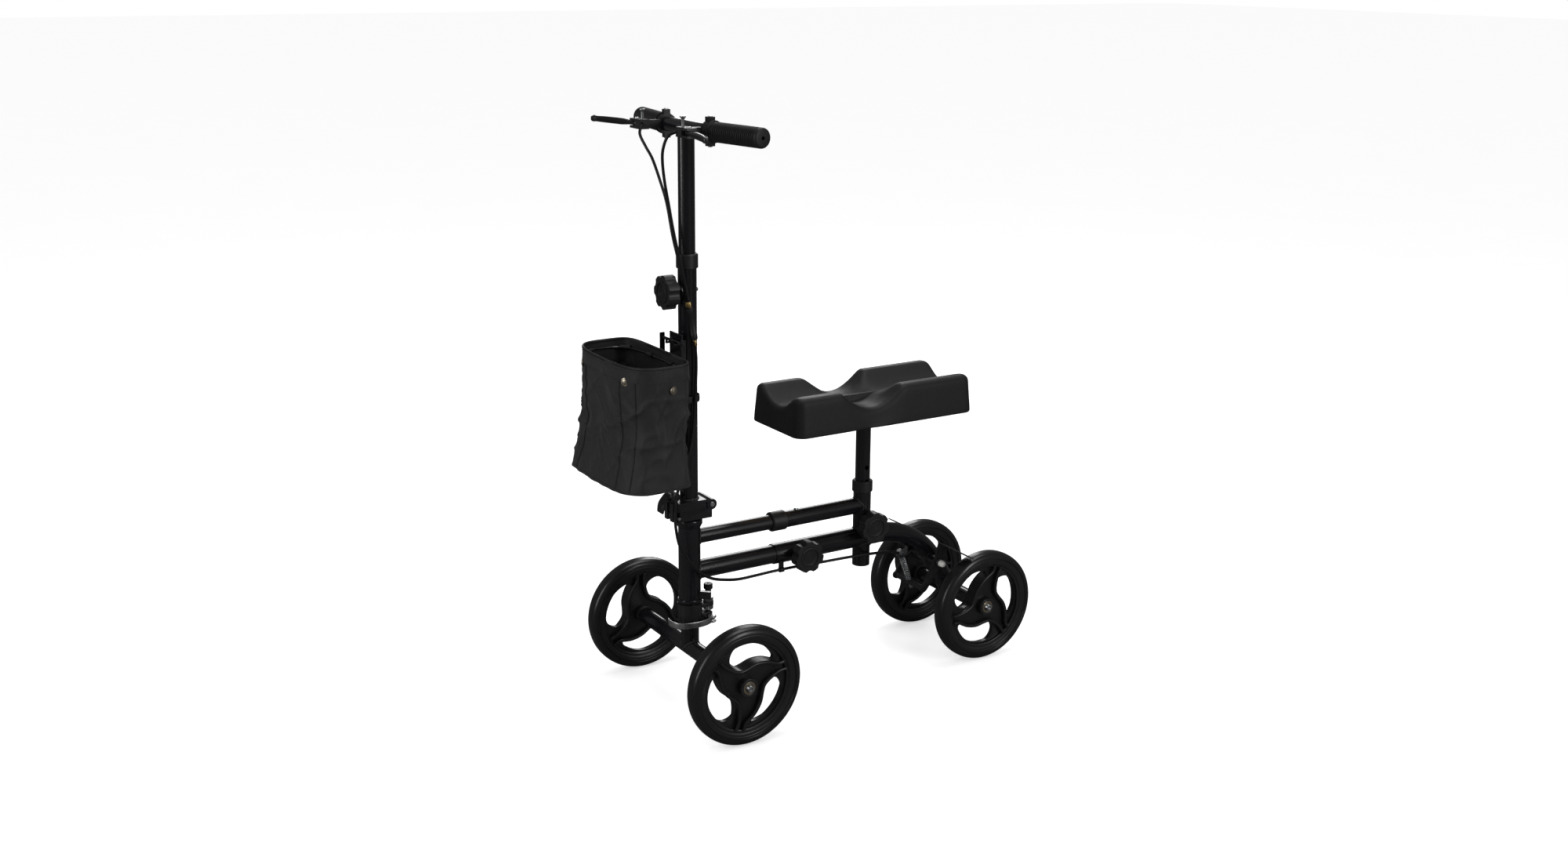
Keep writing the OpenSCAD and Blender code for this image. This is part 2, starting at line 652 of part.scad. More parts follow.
module stop_screw() {
    color("#c9ccd0") placed() translate([0, stop_screw_r, 0]) {
        difference() {
            along_z(159, 206, stop_screw_d);
            translate([0, 0, 201]) cylinder(d=5, h=6, $fn=6);
        }
        for (z = [161, 175]) translate([0, 0, z]) cylinder(d=17, h=7, $fn=6);
    }
}

// ---- Fold hinge --------------------------------------------------------------
module hinge_plan(front) {
    translate([-hinge_half_w, -16]) square([2 * hinge_half_w, hinge_y + 16]);
    translate([-hinge_half_w + 8, -front]) square([2 * hinge_half_w - 16, front]);
    for (side = [-1, 1]) translate([side * (hinge_half_w - 10), -front + 12]) circle(r=10);
    translate([-hinge_half_w, -front + 12]) square([2 * hinge_half_w, front]);
}
module fold_base() {
    color("#161618") placed() difference() {
        union() {
            translate([0, 0, hinge_base_z]) linear_extrude(hinge_split_z - hinge_base_z) hinge_plan(hinge_front);
            both_sides() along_x(knuckle_half + body_gap, hinge_half_w, hinge_y, hinge_z, 2 * knuckle_r);
        }
        along_x(-knuckle_half - body_gap, knuckle_half + body_gap, hinge_y, hinge_z, 2 * (knuckle_r + body_gap));
        along_x(-hinge_half_w - 1, hinge_half_w + 1, hinge_y, hinge_z, hinge_pin_d);
        translate([-fold_slot_w / 2, -hinge_front - 1, hinge_base_z - 1])
            cube([fold_slot_w, hinge_front + fold_bolt_y + 8, 40]);
        // The bolt's cross bar leaves its notch along the arc that the column takes.
        for (k = [0:6]) hull() for (a = [k * 2.5, k * 2.5 + 2.5])
            translate([0, hinge_y, hinge_z]) rotate([-a, 0, 0])
                along_x(-hinge_half_w - 1, hinge_half_w + 1, fold_bolt_y - hinge_y, fold_bolt_z - hinge_z, 5.1);
    }
}
module fold_pin() {
    color("#c9ccd0") placed() along_x(-hinge_half_w - 2, hinge_half_w + 2, hinge_y, hinge_z, hinge_pin_d);
}
module column_hinge() {
    color("#161618") placed() difference() {
        union() {
            translate([0, 0, hinge_split_z + body_gap])
                linear_extrude(hinge_top_z - hinge_split_z - body_gap) intersection() {
                    hinge_plan(hinge_front);
                    translate([-50, -50]) square([100, 50 + hinge_y - knuckle_r - 1.5]);
                }
            along_x(-knuckle_half, knuckle_half, hinge_y, hinge_z, 2 * knuckle_r);
            translate([-knuckle_half, 10, hinge_split_z + body_gap])
                cube([2 * knuckle_half, hinge_y - 10, hinge_top_z - 2 - hinge_split_z - body_gap]);
        }
        along_x(-knuckle_half - 1, knuckle_half + 1, hinge_y, hinge_z, hinge_pin_d + 2 * fit_gap);
        translate([-fold_slot_w / 2, -hinge_front - 1, hinge_base_z])
            cube([fold_slot_w, hinge_front + fold_bolt_y + 8, 60]);
        // The front edge is rounded about the bolt's foot, so that the cam swings past it.
        intersection() {
            difference() {
                along_x(-12, 12, fold_bolt_y, fold_bolt_z, 80);
                along_x(-13, 13, fold_bolt_y, fold_bolt_z, 2 * (hinge_top_z - fold_bolt_z));
            }
            translate([-13, fold_bolt_y - 20, hinge_split_z]) cube([26, 20, 40]);
        }
    }
}
module fold_bolt() {
    color("#c9ccd0") placed() difference() {
        union() {
            along_x(-3.8, 3.8, fold_bolt_y, fold_bolt_z, 12);
            translate([0, fold_bolt_y, 0]) along_z(fold_bolt_z, cam_z, fold_bolt_d);
            along_x(-3.8, 3.8, fold_bolt_y, cam_z, 9);
        }
        along_x(-10, 10, fold_bolt_y, cam_z, 5.1);
    }
    color("#c9ccd0") placed() both_sides()
        along_x(3.7, hinge_half_w + 1, fold_bolt_y, fold_bolt_z, 5 - 2 * fit_gap);
}
module fold_lever() {
    color("#1b1b1e") placed() {
        difference() {
            union() {
                along_x(-11, 11, fold_bolt_y, cam_z, 2 * cam_r);
                translate([0, fold_bolt_y, cam_z]) rotate([18, 0, 0]) translate([-9, -44, -2]) cube([18, 38, 7]);
            }
            translate([-4.2, fold_bolt_y - 8, cam_z - 12]) cube([8.4, 24, 20]);
        }
        along_x(-10, 10, fold_bolt_y, cam_z, 5);
    }
}

// ---- Column ------------------------------------------------------------------
module column_tube() {
    color("#161618") placed() difference() {
        union() {
            along_z(hinge_top_z, column_top_z, column_od);
            translate([0, 0, column_knob_z]) rotate([90, 0, 0])
                cylinder(d=stud_d + 12, h=column_od / 2 + knob_boss_h);
        }
        along_z(hinge_top_z + 6, column_top_z + 1, column_bore);
        translate([0, 0, column_knob_z]) rotate([90, 0, 0]) cylinder(d=stud_d + 2 * fit_gap, h=40);
        translate([0, 0, column_knob_z]) rotate([-90, 0, 0]) cylinder(d=4.1, h=40);
    }
}
module column_collar() {
    color("#1d1d1f") placed() translate([0, 0, column_top_z]) collar(column_od, stem_d, 17);
}
module column_guide_screw() {
    color("#c9ccd0") placed() translate([0, column_od / 2 - column_wall, column_knob_z]) rotate([-90, 0, 0])
        guide_screw(column_wall + 0.05);
}

// ---- Basket ------------------------------------------------------------------
bracket_z = [600, 640];
plate_y = -column_od / 2 - 4;
hook_x = 12;
hook_z = 624;
hanger_y = plate_y - 8.2;
hanger_x = 35;
rod_d = 5;
module basket_bracket() {
    color("#161618") placed() difference() {
        union() {
            translate([-20, plate_y - 3, bracket_z[0]]) cube([40, 3, bracket_z[1] - bracket_z[0]]);
            translate([-7, plate_y - 1, bracket_z[0] + 6]) cube([14, 12, 26]);
            both_sides() translate([hook_x - 1.5, hanger_y - 6, hook_z - 2]) {
                cube([3, plate_y - hanger_y + 5, 3.2]);
                cube([3, 3, 10]);
            }
        }
        along_z(bracket_z[0] - 1, bracket_z[1] + 1, column_od);
    }
}
ring_inset = basket_wall + 3.5;
ring_z = basket_top_z - 14;
function basket_outline(z, inset, n) = let (
        f = (z - basket_bottom_z) / (basket_top_z - basket_bottom_z),
        front = -basket_front + 16 * f,
        back = -basket_back,
        mid = (front + back) / 2,
        half_d = (back - front) / 2 - inset,
        half_w = basket_half_w - 2 * sin(180 * f) - inset,
        power = 0.5 + 0.1 * f)
    [for (k = [0:n - 1]) let (a = k * 360 / n)
        [half_w * sign(cos(a)) * pow(abs(cos(a)), power), mid + half_d * sign(sin(a)) * pow(abs(sin(a)), power), z]];
module basket_frame() {
    ring = basket_outline(ring_z, ring_inset, 40);
    color("#19191b") placed() {
        both_sides() translate([hanger_x - 1.5, hanger_y - 4, ring_z - 3]) cube([3, 8, 36]);
        along_x(-hanger_x - 3, hanger_x + 3, hanger_y, hook_z + 4, rod_d);
        both_sides() translate([hanger_x - 4, -basket_back - ring_inset - 1, ring_z - 2])
            cube([8, basket_back + ring_inset + hanger_y + 3, 4]);
        closed_wire(ring, 4);
    }
}
// A closed wire through the points of a ring.
module closed_wire(p, d) {
    n = len(p);
    sides = 6;
    points = [for (i = [0:n - 1]) let (
            t = unit(p[(i + 1) % n] - p[(i + n - 1) % n]), u = [0, 0, 1], v = cross(t, u))
        for (k = [0:sides - 1]) p[i] + d / 2 * (cos(k * 60) * u + sin(k * 60) * v)];
    polyhedron(points, [for (i = [0:n - 1], k = [0:sides - 1]) let (
            a = i * sides + k, b = i * sides + (k + 1) % sides,
            c = ((i + 1) % n) * sides + (k + 1) % sides, e = ((i + 1) % n) * sides + k)
        each [[a, c, b], [a, e, c]]]);
}
module basket_bag() {
    n = 48;
    steps = [for (k = [0:5]) basket_bottom_z + k * (basket_top_z - basket_bottom_z) / 5];
    floor_z = basket_bottom_z + basket_wall;
    inner = [for (k = [5:-1:0]) floor_z + k * (basket_top_z - floor_z) / 5];
    rings = concat([for (z = steps) basket_outline(z, 0, n)], [for (z = inner) basket_outline(z, basket_wall, n)]);
    count = len(rings);
    walls = [for (i = [0:count - 2], k = [0:n - 1]) let (
            a = i * n + k, b = i * n + (k + 1) % n)
        each [[a, b + n, b], [a, a + n, b + n]]];
    color("#2a2a2c") placed() difference() {
        polyhedron([for (r = rings) each r], concat([[for (k = [0:n - 1]) k]], walls,
            [[for (k = [n - 1:-1:0]) (count - 1) * n + k]]));
        both_sides() translate([hanger_x - 5, -basket_back - 8, ring_z - 3]) cube([10, 12, 6]);
    }
}
module basket_snaps() {
    color("#b9b2a4") placed() for (side = [-1, 1]) {
        translate([side * 76, -basket_front + 24.5, basket_top_z - 24]) rotate([90, 0, 0]) cylinder(r=7, h=7);
        translate([side * (basket_half_w - 6), -86, basket_top_z - 38]) rotate([0, side * 90, 0]) cylinder(r=7, h=6);
    }
}

// ---- Handlebar ---------------------------------------------------------------
sweep_r = 60;
bar_turn = [bar_half + sweep_r * sin(bar_sweep), sweep_r * (1 - cos(bar_sweep))];
// Local z runs outwards along a swept bar end, from the end of its bend.
module on_bar(s) {
    translate([bar_turn[0], bar_turn[1], bar_z]) rotate([0, 0, bar_sweep]) rotate([0, 90, 0])
        translate([0, 0, s]) children();
}
grip_start = bar_end_l - grip_l;
module handlebar() {
    color("#161618") placed() difference() {
        union() {
            along_x(-bar_half - seam, bar_half + seam, 0, bar_z, bar_d);
            both_sides() {
                translate([bar_half, sweep_r, bar_z]) rotate([0, 0, -90]) rotate_extrude(angle=bar_sweep)
                    translate([sweep_r, 0]) circle(d=bar_d - seam_step);
                on_bar(-seam) cylinder(d=bar_d, h=bar_end_l - 3 + seam);
            }
            along_z(stem_bottom_z, bar_z, stem_d);
        }
        along_z(stem_bottom_z - 1, bar_z - 16, stem_d - 2 * inner_wall);
        both_sides() on_bar(8) cylinder(d=bar_d - 2 * inner_wall, h=bar_end_l);
        // The guide screw's slot, along the whole travel.
        translate([-2.5, 8, column_knob_z - 40]) cube([5, 12, 225]);
    }
}
module grips() {
    color("#111113") placed() both_sides() on_bar(grip_start) difference() {
        union() {
            cylinder(d=grip_d, h=grip_l);
            cylinder(d=grip_d + 3, h=3);
        }
        translate([0, 0, -1]) cylinder(d=bar_d, h=grip_l - 2);
        cylinder(d=4, h=grip_l + 1);
    }
}
clamp_s = grip_start - 8;
module lever_clamp() {
    on_bar(clamp_s) difference() {
        union() {
            translate([0, 0, -6]) cylinder(d=bar_d + 9, h=12);
            translate([-22, -5, -6]) cube([44, 10, 12]);
        }
        translate([0, 0, -7]) cylinder(d=bar_d, h=14);
    }
    translate([lever_pivot[0] - 24, -36, lever_z - 6]) cube([12, 26, 12]);
    difference() {
        translate([lever_pivot[0] - 27, -49, lever_z - 7.5]) cube([36, 16, 15]);
        translate([lever_pivot[0] - 10, -60, lever_z - lever_h / 2 - body_gap]) cube([40, 40, lever_h + 2 * body_gap]);
        translate([lever_pivot[0] - 28, -46, lever_z]) rotate([0, 90, 0]) cylinder(d=cable_d + 0.4, h=6);
        translate([lock_pin_at[0], -41, lever_z - 5]) cylinder(d=5.1, h=20);
    }
}
module lever_clamps() {
    color("#19191b") placed() both_sides() difference() {
        lever_clamp();
        on_bar(clamp_s - 30) cylinder(d=bar_d, h=60);
        translate([lever_pivot[0], lever_pivot[1], lever_z - 20]) cylinder(d=4, h=40);
    }
    color("#c9ccd0") placed() both_sides() {
        translate([lever_pivot[0], lever_pivot[1], lever_z - 8.5]) cylinder(d=3.9, h=17);
    }
}
module brake_lever() {
    run = lever_tip - lever_pivot;
    angle = atan2(run[1], run[0]);
    color("#151517") placed() translate([lever_pivot[0], lever_pivot[1], lever_z]) difference() {
        union() {
            translate([0, 0, -lever_h / 2]) cylinder(r=6.5, h=lever_h);
            rotate([0, 0, angle]) translate([0, -5, -lever_h / 2]) cube([24, 9, lever_h]);
            rotate([0, 0, angle]) translate([22, -5, -5]) cube([norm(run) - 26, 9, 10]);
            rotate([0, 0, angle]) translate([norm(run) - 5, -0.5, -5]) cylinder(r=4.9, h=10);
        }
        cylinder(d=4.1, h=20, center=true);
        rotate([0, 0, angle]) translate([26, -3, -3.2]) cube([norm(run) - 38, 12, 6.4]);
    }
}
module brake_lever_left() { brake_lever(); }
module brake_lever_right() { mirror([1, 0, 0]) brake_lever(); }
module lock_pin() {
    color("#cfc8c0") placed() translate([lock_pin_at[0], -41, lever_z]) {
        translate([0, 0, 0]) cylinder(d=5, h=20);
        translate([0, 0, 19]) cylinder(d1=5, d2=9.5, h=3);
        translate([0, 0, 22]) cylinder(d=9.5, h=1.6);
    }
}
module lock_pin_left() { lock_pin(); }
module lock_pin_right() { mirror([1, 0, 0]) lock_pin(); }
module cables_upper() {
    color("#101012") placed() {
        cable(route_left, cable_d - 0.4, 2);
        cable(route_right, cable_d - 0.4, 2);
        translate([22, -8, 682]) rotate([189.5, 0, 0]) cylinder(d=11, h=52);
    }
}
module cable_column() {
    color("#101012") placed() cable(route_column, cable_d, 4);
}

// ---- Knee rest ---------------------------------------------------------------
post_bottom_z = 235;
bracket_t = 4;
board_t = 9;
module seat_post() {
    color("#161618") placed() translate([0, seat_y, 0]) difference() {
        union() {
            along_z(post_bottom_z, pad_z - body_gap - bracket_t, post_d);
            translate([-40, -60, pad_z - body_gap - bracket_t]) cube([80, 120, bracket_t]);
        }
        along_z(post_bottom_z - 1, pad_z - 12, post_d - 2 * inner_wall);
        // Index holes for the height.
        for (z = [seat_knob_z + 25:25:pad_z - 80]) along_x(0, post_d, 0, z + 1, 8);
    }
}
module pad_plan(inset) {
    corner_r = 30 - inset;
    half_w = pad_w / 2 - inset;
    half_l = pad_l / 2 - inset;
    square([2 * half_w - 2 * corner_r, 2 * half_l], center=true);
    square([2 * half_w, 2 * half_l - 2 * corner_r], center=true);
    for (x = [-1, 1], y = [-1, 1]) translate([x * (half_w - corner_r), y * (half_l - corner_r)])
        circle(r=corner_r);
}
module pad_board() {
    color("#5a4632") placed() translate([0, pad_y, pad_z]) linear_extrude(board_t) pad_plan(10);
}
module knee_pad() {
    color("#1c1c1e") placed() translate([0, pad_y, pad_z]) difference() {
        linear_extrude(pad_t) pad_plan(0);
        translate([0, 0, -1]) linear_extrude(board_t + 1 + eps) pad_plan(10 - 0.1);
    }
}

rear_upper_tube();
rear_lower_tube();
seat_tube();
rear_axle_beam();
frame_collars();
upper_guide_screw();
rear_axle_bolts();
rear_bearings();
brake_pivot_bolt();
brake_adjuster();
brake_spring();
cable_frame();
seat_knob();
frame_knob();
brake_rocker();
tyre_rear_left();
rim_rear_left();
tyre_rear_right();
rim_rear_right();
front_upper_tube();
front_lower_tube();
head_tube();
head_cups();
steerer();
front_axle_beam();
steering_clamp();
clamp_bolt();
stop_screw();
fold_base();
fold_pin();
front_axle_bolts();
front_bearings();
clamp_lever();
tyre_front_left();
rim_front_left();
tyre_front_right();
rim_front_right();
column_tube();
column_hinge();
column_collar();
column_guide_screw();
column_knob();
fold_bolt();
fold_lever();
basket_bracket();
basket_frame();
basket_bag();
basket_snaps();
cable_column();
handlebar();
grips();
lever_clamps();
brake_lever_left();
brake_lever_right();
lock_pin_left();
lock_pin_right();
cables_upper();
seat_post();
knee_pad();
pad_board();
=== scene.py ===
import math
import bmesh
import bpy
from mathutils import Matrix
from mathutils import Vector
from mathutils import noise


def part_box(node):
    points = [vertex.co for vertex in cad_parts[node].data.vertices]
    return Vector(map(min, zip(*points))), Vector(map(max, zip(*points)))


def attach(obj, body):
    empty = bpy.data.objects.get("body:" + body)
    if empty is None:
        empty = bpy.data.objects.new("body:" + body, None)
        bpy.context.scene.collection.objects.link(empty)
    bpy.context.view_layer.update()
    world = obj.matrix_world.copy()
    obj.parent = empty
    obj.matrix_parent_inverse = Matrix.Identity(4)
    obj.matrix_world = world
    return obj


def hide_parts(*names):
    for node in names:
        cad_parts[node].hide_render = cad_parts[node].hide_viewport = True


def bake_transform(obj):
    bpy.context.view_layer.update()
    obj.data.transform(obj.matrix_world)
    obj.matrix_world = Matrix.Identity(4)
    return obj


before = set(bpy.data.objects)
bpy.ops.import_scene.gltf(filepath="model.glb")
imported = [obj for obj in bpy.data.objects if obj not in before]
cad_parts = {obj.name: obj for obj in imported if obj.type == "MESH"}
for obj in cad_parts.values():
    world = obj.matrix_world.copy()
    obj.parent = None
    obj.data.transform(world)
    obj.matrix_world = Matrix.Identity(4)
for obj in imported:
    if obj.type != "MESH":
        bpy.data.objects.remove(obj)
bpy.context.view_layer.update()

# ---- The studio ------------------------------------------------------------------
# A seamless pale floor, a white surround, one large soft box above and three beside, and
# a 39 mm lens that stands ahead of the scooter on its left.
scene = bpy.context.scene
scene.view_settings.view_transform = "Standard"
camera_azimuth = math.radians(58.1117)
camera_elevation = math.radians(15.9689)
camera_roll = math.radians(0.4504)
camera_data = bpy.data.cameras.new("camera")
camera_data.lens = 38.875
camera_data.sensor_width = 36
camera_data.clip_end = 100
camera = bpy.data.objects.new("camera", camera_data)
scene.collection.objects.link(camera)
scene.camera = camera
back = Vector((math.sin(camera_azimuth) * math.cos(camera_elevation),
               -math.cos(camera_azimuth) * math.cos(camera_elevation), math.sin(camera_elevation)))
level_right = Vector((math.cos(camera_azimuth), math.sin(camera_azimuth), 0))
level_up = back.cross(level_right)
right = level_right * math.cos(camera_roll) + level_up * math.sin(camera_roll)
up = level_up * math.cos(camera_roll) - level_right * math.sin(camera_roll)
camera.matrix_world = Matrix.Translation((2.3170, -1.4950, 1.2250)) @ Matrix(
    (right, up, back)).transposed().to_4x4()

world = bpy.data.worlds.new("surround")
world.use_nodes = True
surround = world.node_tree.nodes["Background"]
surround.inputs["Color"].default_value = (1, 1, 1, 1)
scene.world = world
# White to the camera, a soft light on every surface, and dark to mirror-like reflections.
sky_light = 0.5
sky_in_gloss = 0.1
seen_by = world.node_tree.nodes.new("ShaderNodeLightPath")
for seen_as, start, end in (("gloss", sky_light, sky_in_gloss), ("camera", None, 1.0)):
    level = world.node_tree.nodes.new("ShaderNodeMix")
    level.name = seen_as
    if start is not None:
        level.inputs["A"].default_value = start
    level.inputs["B"].default_value = end
levels = world.node_tree.nodes
world.node_tree.links.new(seen_by.outputs["Is Glossy Ray"], levels["gloss"].inputs["Factor"])
world.node_tree.links.new(seen_by.outputs["Is Camera Ray"], levels["camera"].inputs["Factor"])
world.node_tree.links.new(levels["gloss"].outputs["Result"], levels["camera"].inputs["A"])
world.node_tree.links.new(levels["camera"].outputs["Result"], surround.inputs["Strength"])


def soft_box(name, place, aim, size, power):
    data = bpy.data.lights.new(name, "AREA")
    data.shape = "RECTANGLE"
    data.size = size[0]
    data.size_y = size[1]
    data.energy = power
    lamp = bpy.data.objects.new(name, data)
    lamp.location = place
    lamp.rotation_euler = (Vector(aim) - Vector(place)).to_track_quat("-Z", "Y").to_euler()
    scene.collection.objects.link(lamp)


soft_box("top_box", (-0.3, 0.5, 2.8), (0, 0.1, 0.4), (1.7, 1.7), 21)
soft_box("left_box", (2.9, 0.9, 1.5), (0, 0, 0.5), (0.55, 2.0), 24)
soft_box("front_box", (0.1, -3.0, 1.4), (0, 0, 0.5), (0.7, 2.0), 20)
soft_box("back_box", (-2.6, 1.6, 1.6), (0, 0, 0.5), (0.8, 1.8), 16)


def shader(name):
    """A new material with its own Principled shader, and the piece's own coordinates."""
    material = bpy.data.materials.new(name)
    material.use_nodes = True
    tree = material.node_tree
    coordinates = tree.nodes.new("ShaderNodeTexCoord")
    return material, tree, tree.nodes["Principled BSDF"], coordinates.outputs["Object"]


floor_material, tree, surface, where = shader("paper_floor")
surface.inputs["Roughness"].default_value = 0.9
paper = tree.nodes.new("ShaderNodeTexNoise")
paper.inputs["Scale"].default_value = 3
tree.links.new(where, paper.inputs["Vector"])
tint = tree.nodes.new("ShaderNodeMix")
tint.data_type = "RGBA"
tint.inputs["A"].default_value = (0.93, 0.93, 0.93, 1)
tint.inputs["B"].default_value = (0.96, 0.96, 0.96, 1)
tree.links.new(paper.outputs["Fac"], tint.inputs["Factor"])
floor_seen_by = tree.nodes.new("ShaderNodeLightPath")
in_gloss = tree.nodes.new("ShaderNodeMix")
in_gloss.data_type = "RGBA"
in_gloss.inputs["B"].default_value = (0.07, 0.07, 0.07, 1)
tree.links.new(floor_seen_by.outputs["Is Glossy Ray"], in_gloss.inputs["Factor"])
tree.links.new(tint.outputs["Result"], in_gloss.inputs["A"])
tree.links.new(in_gloss.outputs["Result"], surface.inputs["Base Color"])
glow = tree.nodes.new("ShaderNodeMath")
glow.operation = "MULTIPLY"
glow.inputs[1].default_value = 0.52
tree.links.new(floor_seen_by.outputs["Is Camera Ray"], glow.inputs[0])
surface.inputs["Emission Color"].default_value = (1, 1, 1, 1)
tree.links.new(glow.outputs[0], surface.inputs["Emission Strength"])
floor_mesh = bpy.data.meshes.new("floor")
floor_mesh.from_pydata([(-30, -30, 0), (30, -30, 0), (30, 30, 0), (-30, 30, 0)], [], [(0, 1, 2, 3)])
floor_mesh.materials.append(floor_material)
floor = bpy.data.objects.new("floor", floor_mesh)
scene.collection.objects.link(floor)

# ---- Rear frame --------------------------------------------------------------------
# Round steel tubes, cut, bent and welded together, then powder coated in gloss black.
# The coat has a faint orange peel, and a painted highlight makes its outer edges paler.
steer_low, steer_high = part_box("steerer")
steer_y = (steer_low.y + steer_high.y) / 2


def at(x, y, z):
    """A place in metres, from millimetres: x to the left, y behind the steering axis, z up."""
    return Vector((x / 1000, y / 1000 + steer_y, z / 1000))


def new_group(name, numbers, outputs):
    """A shader group that takes a place and some numbers, and puts out varying values."""
    group = bpy.data.node_groups.new(name, "ShaderNodeTree")
    group.interface.new_socket("Vector", in_out="INPUT", socket_type="NodeSocketVector")
    for number, value in numbers:
        socket = group.interface.new_socket(number, in_out="INPUT", socket_type="NodeSocketFloat")
        socket.default_value = value
    for output in outputs:
        group.interface.new_socket(output, in_out="OUTPUT", socket_type="NodeSocketFloat")
    return group, group.nodes.new("NodeGroupInput"), group.nodes.new("NodeGroupOutput")


def maths(tree, operation, a, b=None):
    """One Math node; a and b are sockets or numbers."""
    node = tree.nodes.new("ShaderNodeMath")
    node.operation = operation
    for slot, value in ((0, a), (1, b)):
        if isinstance(value, (int, float)):
            node.inputs[slot].default_value = value
        elif value is not None:
            tree.links.new(value, node.inputs[slot])
    return node.outputs[0]


def wired(tree, *links):
    """Links nodes; each link is a node, its output, another node and its input."""
    for source, output, target, entry in links:
        tree.links.new(source.outputs[output], target.inputs[entry])


# Broad patches, for colour and gloss, and a fine grain, for relief.
grain, grain_in, grain_out = new_group("grain", [("Patch Size", 0.04), ("Grain Size", 0.001)],
                                       ["Patch", "Grain"])
for output, size, detail in (("Patch", "Patch Size", 3), ("Grain", "Grain Size", 1)):
    cloud = grain.nodes.new("ShaderNodeTexNoise")
    cloud.inputs["Detail"].default_value = detail
    wired(grain, (grain_in, "Vector", cloud, "Vector"), (cloud, "Fac", grain_out, output))
    grain.links.new(maths(grain, "DIVIDE", 1, grain_in.outputs[size]), cloud.inputs["Scale"])

# Painted highlight: a paler tone on outer edges, broken up by patches.
painted_edge_highlight, highlight_in, highlight_out = new_group("painted_edge_highlight", [("Amount", 0.5)], ["Mask"])
pointed = painted_edge_highlight.nodes.new("ShaderNodeNewGeometry").outputs["Pointiness"]
highlight_breakup = painted_edge_highlight.nodes.new("ShaderNodeTexNoise")
highlight_breakup.inputs["Scale"].default_value = 180
painted_edge_highlight.links.new(highlight_in.outputs["Vector"], highlight_breakup.inputs["Vector"])
edge = painted_edge_highlight.nodes.new("ShaderNodeMapRange")
edge.inputs["From Min"].default_value = 0.53
edge.inputs["From Max"].default_value = 0.62
painted_edge_highlight.links.new(pointed, edge.inputs["Value"])
broken_highlight = maths(painted_edge_highlight, "MULTIPLY", edge.outputs["Result"], highlight_breakup.outputs["Fac"])
painted_edge_highlight.links.new(maths(painted_edge_highlight, "MULTIPLY", broken_highlight, highlight_in.outputs["Amount"]),
                    highlight_out.inputs["Mask"])


def placed_group(tree, group, where, **values):
    node = tree.nodes.new("ShaderNodeGroup")
    node.node_tree = group
    tree.links.new(where, node.inputs["Vector"])
    for name, value in values.items():
        node.inputs[name.replace("_", " ")].default_value = value
    return node


def mixed(tree, factor, a, b):
    """A colour between a and b; each is a colour or a socket."""
    node = tree.nodes.new("ShaderNodeMix")
    node.data_type = "RGBA"
    tree.links.new(factor, node.inputs["Factor"])
    for name, value in (("A", a), ("B", b)):
        if isinstance(value, tuple):
            node.inputs[name].default_value = (*value, 1)
        else:
            tree.links.new(value, node.inputs[name])
    return node.outputs["Result"]


def relief(tree, surface, height, depth):
    bump = tree.nodes.new("ShaderNodeBump")
    bump.inputs["Distance"].default_value = depth
    tree.links.new(height, bump.inputs["Height"])
    tree.links.new(bump.outputs["Normal"], surface.inputs["Normal"])


def finish(name, dark, light, highlight_tone, roughness, patch, grain_size, depth, metallic=0.0, coat=0.0,
           edge_highlight_amount=0.5):
    """Paint, plastic, rubber or metal: two tones in patches, a grain, and a painted highlight on outer edges.
    """
    material, tree, surface, where = shader(name)
    grains = placed_group(tree, grain, where, Patch_Size=patch, Grain_Size=grain_size)
    edge_highlight = placed_group(tree, painted_edge_highlight, where, Amount=edge_highlight_amount)
    tone = mixed(tree, grains.outputs["Patch"], dark, light)
    # The paler edge tone is a painted highlight on outer edges.
    tree.links.new(mixed(tree, edge_highlight.outputs["Mask"], tone, highlight_tone), surface.inputs["Base Color"])
    spread = tree.nodes.new("ShaderNodeMapRange")
    spread.inputs["To Min"].default_value = roughness[0]
    spread.inputs["To Max"].default_value = roughness[1]
    tree.links.new(grains.outputs["Patch"], spread.inputs["Value"])
    tree.links.new(spread.outputs["Result"], surface.inputs["Roughness"])
    relief(tree, surface, grains.outputs["Grain"], depth)
    surface.inputs["Metallic"].default_value = metallic
    surface.inputs["Coat Weight"].default_value = coat
    surface.inputs["Coat Roughness"].default_value = 0.08
    return material


powder_coat = finish("gloss_powder_coat", (0.003, 0.003, 0.004), (0.006, 0.006, 0.008),
                     (0.03, 0.03, 0.034), (0.16, 0.28), 0.06, 0.0022, 0.00006, coat=0.35)


def keep(obj, body, slot, *nodes):
    """Rides a finished piece on its body, in place of CAD nodes, which it hides; slot is not used."""
    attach(obj, body)
    if nodes:
        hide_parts(*nodes)
    return obj


def as_object(name, mesh, material, smooth_angle=35):
    mesh.materials.clear()
    mesh.materials.append(material)
    mesh.shade_smooth()
    mesh.set_sharp_from_angle(angle=math.radians(smooth_angle))
    obj = bpy.data.objects.new(name, mesh)
    scene.collection.objects.link(obj)
    return obj


def bevelled(obj, width, segments=2, angle=32):
    """Rounds the piece's outer edges; width is in millimetres."""
    rounding = obj.modifiers.new("rounded_edges", "BEVEL")
    rounding.width = width / 1000
    rounding.segments = segments
    rounding.limit_method = "ANGLE"
    rounding.angle_limit = math.radians(angle)
    rounding.harden_normals = True
    rounding.use_clamp_overlap = True
    return obj


